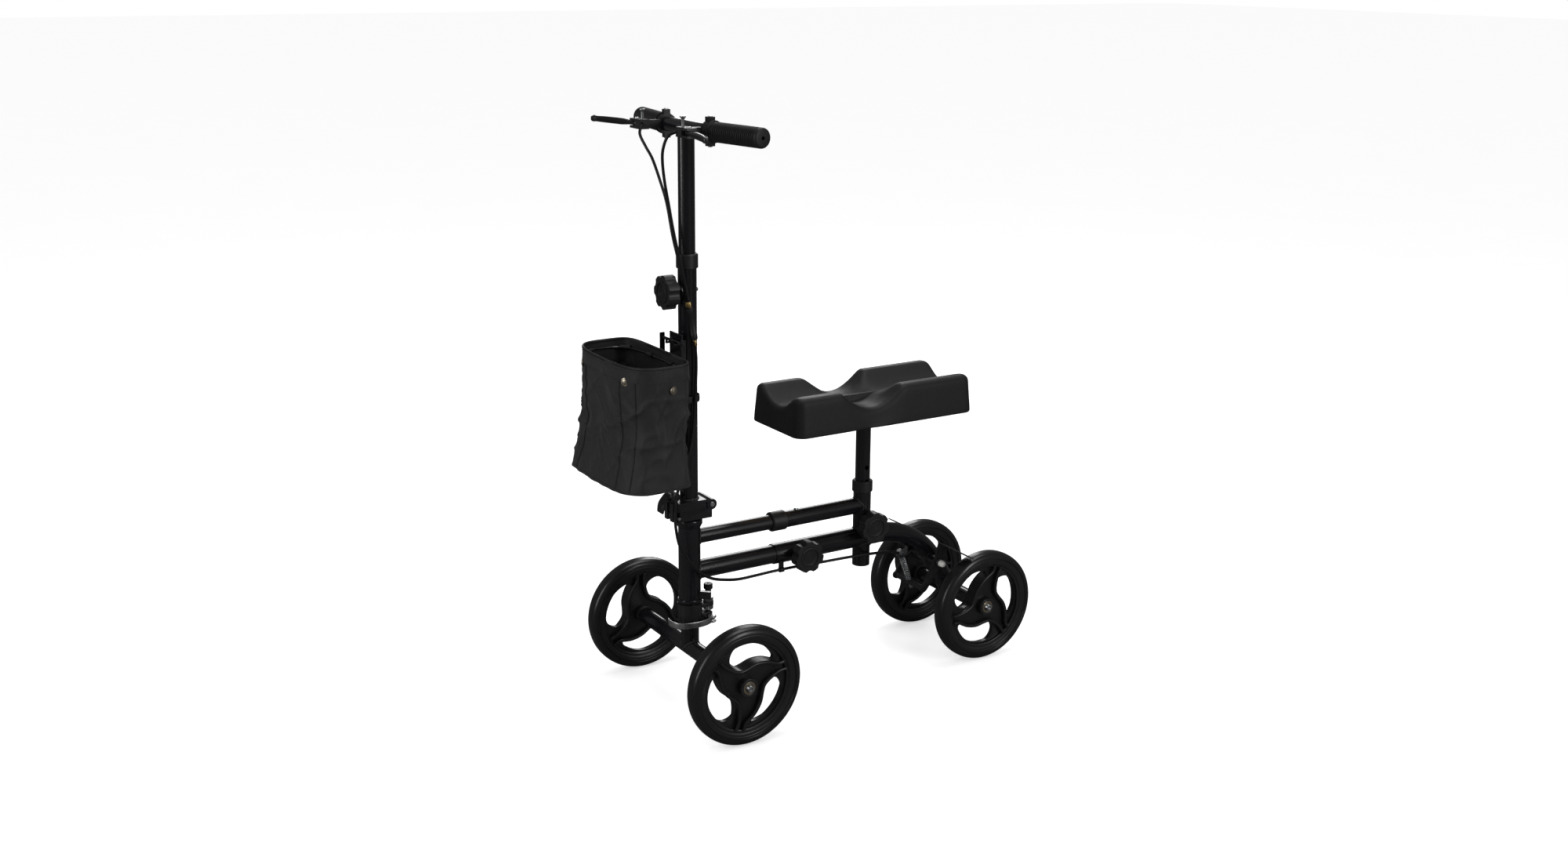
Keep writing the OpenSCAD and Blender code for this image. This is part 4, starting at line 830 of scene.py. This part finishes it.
# Along the blade: how far out, how far it bows forward, half its depth, half its height.
blade_stations = [(-6, 0, 2.2, 3.2), (-5, 0, 4.6, 3.3), (-2, 0, 6.0, 3.3), (2, 0, 6.2, 3.3),
                  (8, 0.2, 5.2, 3.3), (16, 0.2, 4.8, 3.4), (24, 0, 4.6, 4.2),
                  (34, -0.6, 4.4, 4.9), (48, -1.2, 4.2, 5.0),
                  (64, -1.4, 3.9, 5.0), (80, -1.0, 3.5, 4.9), (90, -0.4, 3.2, 4.6), (96, 0.2, 3.4, 4.4),
                  (99, 0.4, 4.3, 4.8), (102.5, 0.4, 4.6, 4.9), (105.6, 0.4, 3.6, 3.9), (107.4, 0.4, 1.6, 1.8)]
blade_angle = math.atan2(-27, 100)
for side, label in ((1, "left"), (-1, "right")):
    outward = Vector((side * math.cos(blade_angle), math.sin(blade_angle), 0))
    forward = Vector((side * math.sin(blade_angle), -math.cos(blade_angle), 0))
    pivot = at(side * lever_x, lever_y, 962)
    stations = [(pivot + (outward * s + forward * bow) / 1000, deep, tall, forward, (0, 0, 1))
                for s, bow, deep, tall in blade_stations]
    blade = loft("lever_blade_" + label, stations, 20, 0.62, lever_paint)
    keep(blade, "brake_lever_" + label, "lever_black", "brake_lever_" + label)
    dot = [(0.2, 1.1), (1.2, 0.9), (1.7, 0.3), (1.8, -0.6), (0.2, -0.6)]
    tip = pivot + (outward * 101.5) / 1000 + Vector((0, 0, 0.0046))
    keep(turned("lever_tip_stud_" + label, zinc, [(tip, (0, 0, 1), dot)], 20), "brake_lever_" + label,
         "zinc_steel")
    machined("lock_pin_" + label, "lock_pin_" + label, "zinc_steel", zinc, 0.5)

# ---- Brake cables -----------------------------------------------------------------------
# Wire rope in a plastic sheath. Two lead from the levers into a joiner, and one runs on down
# the column and under the frame to the brake. Each stretch over a joint is one tube along its route.
sheath = finish("cable_sheath", (0.004, 0.004, 0.0045), (0.007, 0.007, 0.0075), (0.02, 0.02, 0.02),
                (0.26, 0.38), 0.02, 0.0005, 0.00003)
brass = finish("brass_ferrule", (0.55, 0.38, 0.14), (0.72, 0.52, 0.22), (0.8, 0.62, 0.3), (0.25, 0.4),
               0.004, 0.0004, 0.00002, metallic=1.0)
route_left = [(58, -46, 962), (54, -60, 955), (48, -65, 937), (43, -64, 917), (36, -57, 885), (31, -48, 850),
              (26, -36, 800), (24, -21, 742), (24, -11, 695), (24.5, -9, 684)]
route_right = [(-58, -46, 962), (-50, -54, 949), (-38, -50, 930), (-28, -44, 912), (-16, -37, 878),
               (-5, -32, 845), (6, -28, 795), (14, -20, 746), (18, -12, 695), (19, -10, 684)]
route_column = [(22, 0, 629), (22, 3, 600), (22, 2, 560), (22, -4, 480), (24, -18, 425), (25, -34, 385),
                (26, -39, 349)]
route_frame = [(26, -39, 349), (28, -40, 327), (30, -34, 294), (31, -17, 265), (29, 4, 240), (26, 29, 224),
               (23, 59, 215), (21, 84, 211), (18, 116, 210), (16, 150, 210), (16, 185, 210), (17, 207, 210),
               (20, 240, 210), (21, 300, 209), (21, 343, 207), (17, 375, 203), (8, 405, 196), (2, 424, 188)]


def crossing(name, line, radius):
    """A stretch of cable over one joint, drawn as one tube with its place baked into its mesh."""
    piece = tube_along(name, line, radius, sheath)
    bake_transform(piece)
    return piece


left_line = smooth_line(route_left, 8)
right_line = smooth_line(route_right, 8)
column_line = smooth_line(route_column, 10)
frame_line = smooth_line(route_frame, 8)
upper_left = crossing("left_brake_cable", left_line, 2.3)
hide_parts("cables_upper")
crossing("right_brake_cable", right_line, 2.3)
joiner_top = at(22, -8, 682)
joiner_way = Vector((0, math.sin(math.radians(9.5)), -math.cos(math.radians(9.5))))
joiner_outline = [(0.2, 0), (4.9, 0), (5.5, 0.8), (5.5, 9), (5.1, 9.6), (5.1, 40), (5.5, 40.8),
                  (5.5, 49.5), (4.6, 51.6), (3.4, 52.4), (0.2, 52.4)]
keep(turned("cable_joiner", nylon, [(joiner_top, joiner_way, joiner_outline)], 32), "column", "cable_sheath")
ferrule_outline = [(2.2, -9), (2.9, -9), (3.2, -8.4), (3.2, -1), (2.9, 0.6), (2.2, 0.6)]
ferrules = [(place, joiner_way, ferrule_outline)
            for place in (at(24.5, -9, 684), at(19, -10, 684), joiner_top + joiner_way * 0.061)]
keep(turned("cable_ferrules", brass, ferrules, 24), "column", "bearing_steel")
crossing("column_cable", column_line, 2.5)
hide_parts("cable_column")
head_cable = crossing("head_cable", frame_line[:48], 2.5)
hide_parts("cable_frame")
crossing("frame_cable", frame_line[47:104], 2.5)
keep(tube_along("rear_cable", frame_line[103:], 2.5, sheath), "rear_frame", "cable_sheath")
pull_wire = [spring_top + spring_run * (k / 10) for k in range(11)]
keep(tube_along("brake_inner_wire", pull_wire, 0.9, zinc, 10), "rear_frame", "zinc_steel")
crimp_outline = [(0.3, 5.3), (2.9, 5.3), (3.1, 5.8), (3.1, 12.6), (2.7, 13.2), (0.3, 13.2)]
keep(turned("wire_clamp", zinc, [(spring_foot, spring_run, crimp_outline)], 24), "rear_frame", "zinc_steel")

# ---- Basket hanger ------------------------------------------------------------------------
# A steel plate is welded to the column. Its two hooks take the rod of a bent wire frame,
# which the bag's sewn tunnel and loops hold on to.
machined("basket_bracket", "column", "black_paint", powder_coat, 0.5)
machined("basket_frame", "basket", "black_paint", powder_coat, 0.3)

# ---- Bag -----------------------------------------------------------------------------
# Woven polyester with a coated back, cut in panels and sewn with double seams. The rim is
# folded over a tape, and the panels crease and sag between the seams.
bag_front = -170
bag_back = -46
bag_floor = 420
bag_rim = 616
bag_half = 114


def bag_point(angle, height, inset):
    """A place on the bag: angle round it, share of its height, and how far inside the wall."""
    lean = 1 - (1 - min(height / 0.6, 1)) ** 2
    front = bag_front - 2 + 18 * lean
    middle = (front + bag_back) / 2
    half_d = (bag_back - front) / 2 - inset
    half_w = bag_half + 2 - 5 * lean - inset
    c = math.cos(angle)
    s = math.sin(angle)
    power = 0.34 if s > 0 else 0.52 + 0.12 * height
    return Vector((math.copysign(abs(c) ** power, c) * half_w,
                   middle + math.copysign(abs(s) ** power, s) * half_d,
                   bag_floor + height * (bag_rim - bag_floor)))


girth_steps = 3600
raw_outline = [bag_point(math.tau * k / girth_steps, 0.5, 0.8) for k in range(girth_steps + 1)]
girth_table = [0.0]
for k in range(girth_steps):
    girth_table.append(girth_table[-1] + (raw_outline[k + 1] - raw_outline[k]).length)


def even_turn(share):
    """The angle that stands a share of the way round the bag's girth."""
    wanted = (share % 1) * girth_table[-1]
    low = 0
    high = girth_steps
    while high - low > 1:
        middle = (low + high) // 2
        if girth_table[middle] <= wanted:
            low = middle
        else:
            high = middle
    span = girth_table[high] - girth_table[low]
    return math.tau * (low + (wanted - girth_table[low]) / max(span, 1e-6)) / girth_steps


def crease(point, height):
    """How far the cloth stands off its plain shape: soft folds, deeper in the lower half."""
    x, y, z = point
    slow = noise.noise(Vector((x * 0.013, y * 0.013, z * 0.011)))
    slant = noise.noise(Vector((x * 0.02 + z * 0.012, y * 0.024, z * 0.013 + 7)))
    ridge = 1 - abs(noise.noise(Vector((x * 0.017 - z * 0.016, y * 0.022, z * 0.012 + 3)))) * 2.4
    crisp = 1 - abs(noise.noise(Vector((x * 0.028 + z * 0.024, y * 0.03, z * 0.016 + 11)))) * 2.6
    loose = math.sin(math.pi * min(max(height, 0.02), 0.86) / 0.9) ** 0.7
    foot = (1 - height) ** 5 * 3.5 * noise.noise(Vector((x * 0.04, y * 0.04, 5)))
    return (slow * 6 + slant * 5.5 + max(ridge, 0) ** 3 * 4.4 + max(crisp, 0) ** 4 * 3 - 3) * loose + foot


def cloth_place(angle, height, off):
    """A place off millimetres outside the creased cloth."""
    plain = bag_point(angle, height, 0.8)
    outward = (plain - bag_point(angle, height, 12)).normalized()
    return at(*(plain + outward * (max(min(crease(plain, height), 6), -7) + off)))


weave, weave_in, weave_out = new_group("weave", [("Thread", 0.0006)], ["Over", "Tone"])
thread_scale = maths(weave, "DIVIDE", math.tau, weave_in.outputs["Thread"])
parts_of = weave.nodes.new("ShaderNodeSeparateXYZ")
weave.links.new(weave_in.outputs["Vector"], parts_of.inputs[0])
warp = maths(weave, "SINE", maths(weave, "MULTIPLY", parts_of.outputs["X"], thread_scale))
weft = maths(weave, "SINE", maths(weave, "MULTIPLY", parts_of.outputs["Y"], thread_scale))
crossed = maths(weave, "MULTIPLY", warp, weft)
weave.links.new(maths(weave, "ADD", maths(weave, "MULTIPLY", crossed, 0.5), 0.5), weave_out.inputs["Over"])
slub = weave.nodes.new("ShaderNodeTexNoise")
slub.inputs["Scale"].default_value = 260
slub.inputs["Detail"].default_value = 4
weave.links.new(weave_in.outputs["Vector"], slub.inputs["Vector"])
weave.links.new(slub.outputs["Fac"], weave_out.inputs["Tone"])

polyester, tree, surface, where = shader("woven_polyester")
cloth_map = tree.nodes.new("ShaderNodeUVMap")
cloth_map.uv_map = "cloth"
threads = placed_group(tree, weave, cloth_map.outputs["UV"], Thread=0.0011)
patches = placed_group(tree, grain, where, Patch_Size=0.05, Grain_Size=0.0009)
deep = mixed(tree, threads.outputs["Tone"], (0.007, 0.007, 0.008), (0.017, 0.017, 0.019))
tree.links.new(mixed(tree, patches.outputs["Patch"], deep, (0.013, 0.013, 0.0145)),
               surface.inputs["Base Color"])
dull = maths(tree, "ADD", maths(tree, "MULTIPLY", threads.outputs["Over"], 0.2), 0.46)
tree.links.new(dull, surface.inputs["Roughness"])
relief(tree, surface, threads.outputs["Over"], 0.00012)
surface.inputs["Sheen Weight"].default_value = 0.08
surface.inputs["Sheen Roughness"].default_value = 0.4

bag_around = 176
bag_rows = 60
bag_girth = 0.62
cloth_t = 1.2
bm = bmesh.new()
cloth_uv = bm.loops.layers.uv.new("cloth")
wall_rows = []
for row in range(bag_rows + 1):
    wall_rows.append([bm.verts.new(cloth_place(even_turn(k / bag_around), row / bag_rows, 0))
                      for k in range(bag_around)])


def lay_threads(faces, layer, row, tall):
    """Lays the weave flat on a band of faces, so that its threads run round and up the bag."""
    girth = bag_girth / bag_around
    for k, face in enumerate(faces):
        corners = ((k, row), (k + 1, row), (k + 1, row + 1), (k, row + 1))
        for loop, (a, b) in zip(face.loops, corners):
            loop[layer].uv = (a * girth, b * tall)


for row in range(bag_rows):
    lay_threads(bridge(bm, wall_rows[row], wall_rows[row + 1]), cloth_uv, row, 0.198 / bag_rows)
floor_rings = [wall_rows[0]]
for step in range(1, 12):
    share = 1 - step / 12
    ring = []
    for k in range(bag_around):
        edge = wall_rows[0][k].co
        centre = at(0, (bag_front + bag_back) / 2, bag_floor + 1)
        sag = 0.0008 * noise.noise(edge * 40 * share)
        ring.append(bm.verts.new(Vector((centre.x + (edge.x - centre.x) * share,
                                         centre.y + (edge.y - centre.y) * share, edge.z + abs(sag)))))
    floor_rings.append(ring)
for here, there in zip(floor_rings, floor_rings[1:]):
    for k in range(bag_around):
        j = (k + 1) % bag_around
        face = bm.faces.new((here[j], here[k], there[k], there[j]))
        for loop in face.loops:
            loop[cloth_uv].uv = (loop.vert.co.x, loop.vert.co.y)
face = bm.faces.new(floor_rings[-1][::-1])
for loop in face.loops:
    loop[cloth_uv].uv = (loop.vert.co.x, loop.vert.co.y)
bag = solid("bag_shell", bm, polyester, 60)
cloth_wall = bag.modifiers.new("cloth", "SOLIDIFY")
cloth_wall.thickness = cloth_t / 1000
cloth_wall.offset = -1
keep(bag, "basket", "bag_fabric", "basket_bag")


def band_round(name, low, high, stand, thick):
    """A sewn band round the bag, between two shares of its height, standing off the cloth."""
    bm = bmesh.new()
    layer = bm.loops.layers.uv.new("cloth")
    steps = 7
    outline = [(low + (high - low) * k / steps, stand + thick) for k in range(steps + 1)]
    outline += [(high - (high - low) * k / steps, stand) for k in range(steps + 1)]
    rows = [[bm.verts.new(cloth_place(even_turn(k / bag_around), height, off)) for k in range(bag_around)]
            for height, off in outline]
    for i, here in enumerate(rows):
        lay_threads(bridge(bm, here, rows[(i + 1) % len(rows)]), layer, i, 0.003)
    return solid(name, bm, polyester, 50)


keep(band_round("bag_hem", 0.875, 0.985, 0.05, 1.3), "basket", "bag_fabric")
keep(band_round("bag_floor_hem", 0.0, 0.014, 0.0, 1.0), "basket", "bag_fabric")

# The rim's tape is a soft roll over the cloth's edge.
tape, tree, surface, where = shader("binding_tape")
tape_grain = placed_group(tree, grain, where, Patch_Size=0.01, Grain_Size=0.0006)
tree.links.new(mixed(tree, tape_grain.outputs["Patch"], (0.006, 0.006, 0.0065), (0.012, 0.012, 0.013)),
               surface.inputs["Base Color"])
tree.links.new(maths(tree, "ADD", maths(tree, "MULTIPLY", tape_grain.outputs["Grain"], 0.2), 0.45),
               surface.inputs["Roughness"])
relief(tree, surface, tape_grain.outputs["Grain"], 0.0002)
rim_line = [at(*bag_point(even_turn(k / 120), 0.992, 1.3)) for k in range(120)]


def closed_tube(name, line, half_u, half_v, material):
    """A soft roll through a closed line; its section is half_u wide and half_v tall."""
    bm = bmesh.new()
    count = len(line)
    turns = [math.tau * k / 12 for k in range(12)]
    rings = []
    for i, point in enumerate(line):
        ahead = (line[(i + 1) % count] - line[i - 1]).normalized()
        side_way = ahead.cross(Vector((0, 0, 1))).normalized()
        rings.append([bm.verts.new(point + (side_way * half_u * math.cos(turn)
                                            + Vector((0, 0, 1)) * half_v * math.sin(turn)) / 1000)
                      for turn in turns])
    for i in range(count):
        bridge(bm, rings[i], rings[(i + 1) % count])
    return solid(name, bm, material, 60)


keep(closed_tube("bag_binding", rim_line, 1.7, 2.6, tape), "basket", "bag_fabric")

# Stitches of black thread, one after another along every seam.
stitch_tree, stitch_in, stitch_points, sew = along_paths("stitches", [
    ("Spacing", 0.0032), ("Length", 0.0011), ("Thread", 0.00035)])
one_stitch = stitch_tree.nodes.new("GeometryNodeMeshUVSphere")
one_stitch.inputs["Segments"].default_value = 6
one_stitch.inputs["Rings"].default_value = 5
one_stitch.inputs["Radius"].default_value = 1
stitch_size = stitch_tree.nodes.new("ShaderNodeCombineXYZ")
wired(stitch_tree, (stitch_in, "Thread", stitch_size, "X"), (stitch_in, "Thread", stitch_size, "Y"),
      (stitch_in, "Length", stitch_size, "Z"), (stitch_points, "Rotation", sew, "Rotation"),
      (one_stitch, "Mesh", sew, "Instance"), (stitch_size, 0, sew, "Scale"))
thread = finish("black_thread", (0.010, 0.010, 0.011), (0.02, 0.02, 0.022), (0.03, 0.03, 0.03),
                (0.5, 0.6), 0.004, 0.0003, 0.00002)
hem_paths = [[cloth_place(even_turn(k / 240), height, 1.45) for k in range(240)]
             for height in (0.884, 0.968)]
# Angles of the upright seams: one at each corner, and two on the front wall between them.
corner_seams = [math.radians(angle) for angle in (318, 222, 45, 135, 292, 248)]
upright_paths = []
for seam in corner_seams:
    for offset in (-0.012, 0.012):
        upright_paths.append([cloth_place(seam + offset, 0.03 + 0.85 * k / 60, 1.0) for k in range(61)])
for name, paths, closed in (("hem", hem_paths, True), ("seam", upright_paths, False)):
    keep(built(name + "_stitches", stitch_tree, path_mesh(name + "_paths", paths, closed),
               {"Spacing": 0.0030, "Length": 0.0011, "Thread": 0.0003}, thread), "basket", "bag_fabric")
for number, seam in enumerate(corner_seams):
    welt = [cloth_place(seam, 0.015 + 0.87 * k / 60, 0.2) for k in range(61)]
    keep(tube_along("bag_welt_" + str(number + 1), welt, 0.9, tape, 8), "basket", "bag_fabric")

# Cloth loops sewn inside the rim hold the wire ring.
wire_ring_height = (602 - bag_floor) / (bag_rim - bag_floor)
wire_ring_line = [bag_point(even_turn(k / 16), wire_ring_height, 6.5) for k in range(16)]
loop_parts = []
for k in range(1, 16, 2):
    here = at(*wire_ring_line[k])
    ahead = (at(*wire_ring_line[(k + 1) % 16]) - at(*wire_ring_line[k - 1])).normalized()
    loop_parts.append((here, ahead, [(2.25, -9), (3.3, -9), (3.5, -8), (3.5, 8), (3.3, 9), (2.25, 9)]))
keep(turned("wire_loops", tape, loop_parts, 20), "basket", "bag_fabric")

# A webbing strap sewn to the bag's back passes round the column.
strap_z = 532
strap_turns = [math.radians(-180 * k / 24) for k in range(25)]
strap_route = [(26, -46.5), (24, -34), (19.5, -14)]
strap_route += [(18.4 * math.cos(turn), 17.6 * math.sin(-turn)) for turn in strap_turns]
strap_route += [(-19.5, -14), (-24, -34), (-26, -46.5)]
strap_points = [at(x, y, strap_z) for x, y in strap_route]
keep(ribbon("bag_strap", strap_points, 0.8, 5.5, 16, 0.5, tape), "basket", "bag_fabric")

# Press studs close the bag's folds: a domed cap with a rolled edge on a flat ring.
stud_metal = finish("press_stud_metal", (0.4, 0.34, 0.26), (0.6, 0.54, 0.44), (0.75, 0.7, 0.6),
                    (0.25, 0.42), 0.005, 0.0006, 0.00003, metallic=1.0)
stud_outline = [(0.3, 2.6), (2.6, 2.5), (4.8, 1.9), (5.2, 1.2), (5.8, 1.3), (6.6, 1.0), (6.9, 0.2),
                (6.4, -1.2), (0.3, -1.2)]
stud_parts = []
for side in (-1, 1):
    for angle, height in ((-1.02, (592 - bag_floor) / 196), (0.03, (578 - bag_floor) / 196)):
        turn = angle if side > 0 else math.pi - angle
        stud = cloth_place(turn, height, 0.6)
        outward = (cloth_place(turn, height, 8) - stud).normalized()
        stud_parts.append((stud, outward, stud_outline))
keep(turned("press_studs", stud_metal, stud_parts, 32), "basket", "snap_metal", "basket_snaps")

# ---- Knee rest ------------------------------------------------------------------------
# The post and its top plate carry a plywood board, which is bolted under a pad of moulded
# foam with a grained vinyl skin. A channel along the pad and a dip across it fit the shin.
machined("seat_post", "seat", "black_paint", powder_coat, 0.5)
weld("post_welds", "seat", [ring_path(seat_y, 450, 13.3)])
plywood, tree, surface, where = shader("plywood")
plies = tree.nodes.new("ShaderNodeTexWave")
plies.bands_direction = "Z"
plies.inputs["Scale"].default_value = 180
plies.inputs["Distortion"].default_value = 1.5
tree.links.new(where, plies.inputs["Vector"])
fibres = placed_group(tree, grain, where, Patch_Size=0.02, Grain_Size=0.002)
ply_tone = mixed(tree, plies.outputs["Fac"], (0.24, 0.15, 0.08), (0.36, 0.25, 0.14))
tree.links.new(mixed(tree, fibres.outputs["Patch"], ply_tone, (0.3, 0.2, 0.11)), surface.inputs["Base Color"])
surface.inputs["Roughness"].default_value = 0.65
relief(tree, surface, fibres.outputs["Grain"], 0.0002)
machined("pad_board", "seat", "board_wood", plywood, 0.5)

vinyl, tree, surface, where = shader("grained_vinyl")
pebbles = tree.nodes.new("ShaderNodeTexVoronoi")
pebbles.inputs["Scale"].default_value = 620
tree.links.new(where, pebbles.inputs["Vector"])
skin = placed_group(tree, grain, where, Patch_Size=0.07, Grain_Size=0.0011)
pebble_mask = maths(tree, "MULTIPLY", pebbles.outputs["Distance"], 1.3)
vinyl_tone = mixed(tree, skin.outputs["Patch"], (0.006, 0.006, 0.0065), (0.010, 0.010, 0.0105))
tree.links.new(mixed(tree, pebble_mask, vinyl_tone, (0.013, 0.013, 0.0135)), surface.inputs["Base Color"])
gloss = maths(tree, "ADD", maths(tree, "MULTIPLY", skin.outputs["Patch"], 0.14), 0.42)
tree.links.new(gloss, surface.inputs["Roughness"])
surface.inputs["Specular IOR Level"].default_value = 0.3
relief(tree, surface, maths(tree, "ADD", pebble_mask, skin.outputs["Grain"]), 0.00016)

pad_y = 342
pad_half_l = 181
pad_half_w = 78
pad_low = 454.6
pad_top = 520.5


def pad_height(x, y):
    """The pad's top, in millimetres above the ground, with its channel and its cross dip."""
    channel = 25.5 * max(1 - (abs(x) / 51) ** 2, 0) ** 1.25
    dip = 32 * max(1 - (abs(y + 27) / 63) ** 2, 0) ** 1.15
    low = (channel ** 3 + dip ** 3) ** (1 / 3)
    crown = 1.2 * (1 - (abs(x) / pad_half_w) ** 2)
    return pad_top - low + crown - 1.2


pad_rings = 34
pad_around = 288
pad_corner = 20


def pad_outline(k):
    """A point of the pad's rounded rectangle, spread evenly round it."""
    straight_w = 2 * (pad_half_w - pad_corner)
    straight_l = 2 * (pad_half_l - pad_corner)
    arc = math.pi / 2 * pad_corner
    total = 2 * (straight_w + straight_l) + 4 * arc
    s = (k / pad_around * total) % total
    cx = pad_half_w - pad_corner
    cy = pad_half_l - pad_corner
    for sx, sy, start, run, along in ((1, 1, 0, straight_l, (0, 1)), (-1, 1, 90, straight_w, (-1, 0)),
                                      (-1, -1, 180, straight_l, (0, -1)),
                                      (1, -1, 270, straight_w, (1, 0))):
        normal = Vector((math.cos(math.radians(start)), math.sin(math.radians(start))))
        corner = Vector((sx * cx, sy * cy))
        if s < run:
            return corner - Vector(along) * (run - s) + normal * pad_corner, normal
        s -= run
        if s < arc:
            angle = math.radians(start) + s / pad_corner
            normal = Vector((math.cos(angle), math.sin(angle)))
            return corner + normal * pad_corner, normal
        s -= arc
    return Vector((pad_half_w, -cy)), Vector((1, 0))


bm = bmesh.new()
rows = []
# The skin's rows from the hollow underneath, round the lower lip and up the drafted side.
side_rows = [(14, 9.2), (12, 4), (11.2, 0.6), (10, 0), (2.6, 0), (1.0, 0.4), (0.2, 1.4), (0.1, 3.5),
             (0.9, 10), (1.9, 18), (2.9, 26), (3.8, 33)]
for inset, rise in side_rows:
    ring = []
    for k in range(pad_around):
        edge, normal = pad_outline(k)
        recess = 2.6 * math.exp(-((edge.y + 45) / 20) ** 2) * max(1 - rise / 26, 0) * abs(normal.x)
        flat = edge - normal * (inset + recess)
        top = pad_height(flat.x, flat.y)
        limit = min(rise / 33, 1) * max(top - 18 - pad_low, 5) if rise > 6 else rise
        ring.append(bm.verts.new(at(flat.x, flat.y + pad_y, pad_low + limit)))
    rows.append(ring)
# The rounded shoulder, a quarter turn from the side to the top.
shoulder = 11.5
draft = 4.2
for step in range(1, 9):
    angle = math.radians(90 * step / 8)
    ring = []
    for k in range(pad_around):
        edge, normal = pad_outline(k)
        inner = edge - normal * (draft + shoulder)
        flat = edge - normal * (draft + shoulder * (1 - math.cos(angle)))
        top = pad_height(inner.x, inner.y)
        drop = min(shoulder, top - pad_low - 14)
        ring.append(bm.verts.new(at(flat.x, flat.y + pad_y, top - drop * (1 - math.sin(angle)))))
    rows.append(ring)
# The top, in rows that shrink to a line along the pad's middle.
for step in range(1, pad_rings):
    share = 1 - step / pad_rings
    ring = []
    for k in range(pad_around):
        edge, normal = pad_outline(k)
        inner = edge - normal * (draft + shoulder)
        spine = max(-pad_half_l + 60, min(pad_half_l - 60, inner.y))
        flat = Vector((inner.x * share, spine + (inner.y - spine) * share))
        ring.append(bm.verts.new(at(flat.x, flat.y + pad_y, pad_height(flat.x, flat.y))))
    rows.append(ring)
for here, there in zip(rows, rows[1:]):
    bridge(bm, here, there)
bmesh.ops.holes_fill(bm, edges=[e for e in bm.edges if e.is_boundary], sides=0)
bmesh.ops.remove_doubles(bm, verts=bm.verts, dist=2e-5)
for _ in range(3):
    upper_part = [v for v in bm.verts if v.co.z > (pad_low + 22) / 1000]
    bmesh.ops.smooth_vert(bm, verts=upper_part, factor=0.5, use_axis_x=True, use_axis_y=True, use_axis_z=True)
pad = solid("pad_skin", bm, vinyl, 60)
keep(pad, "seat", "pad_leather", "knee_pad")
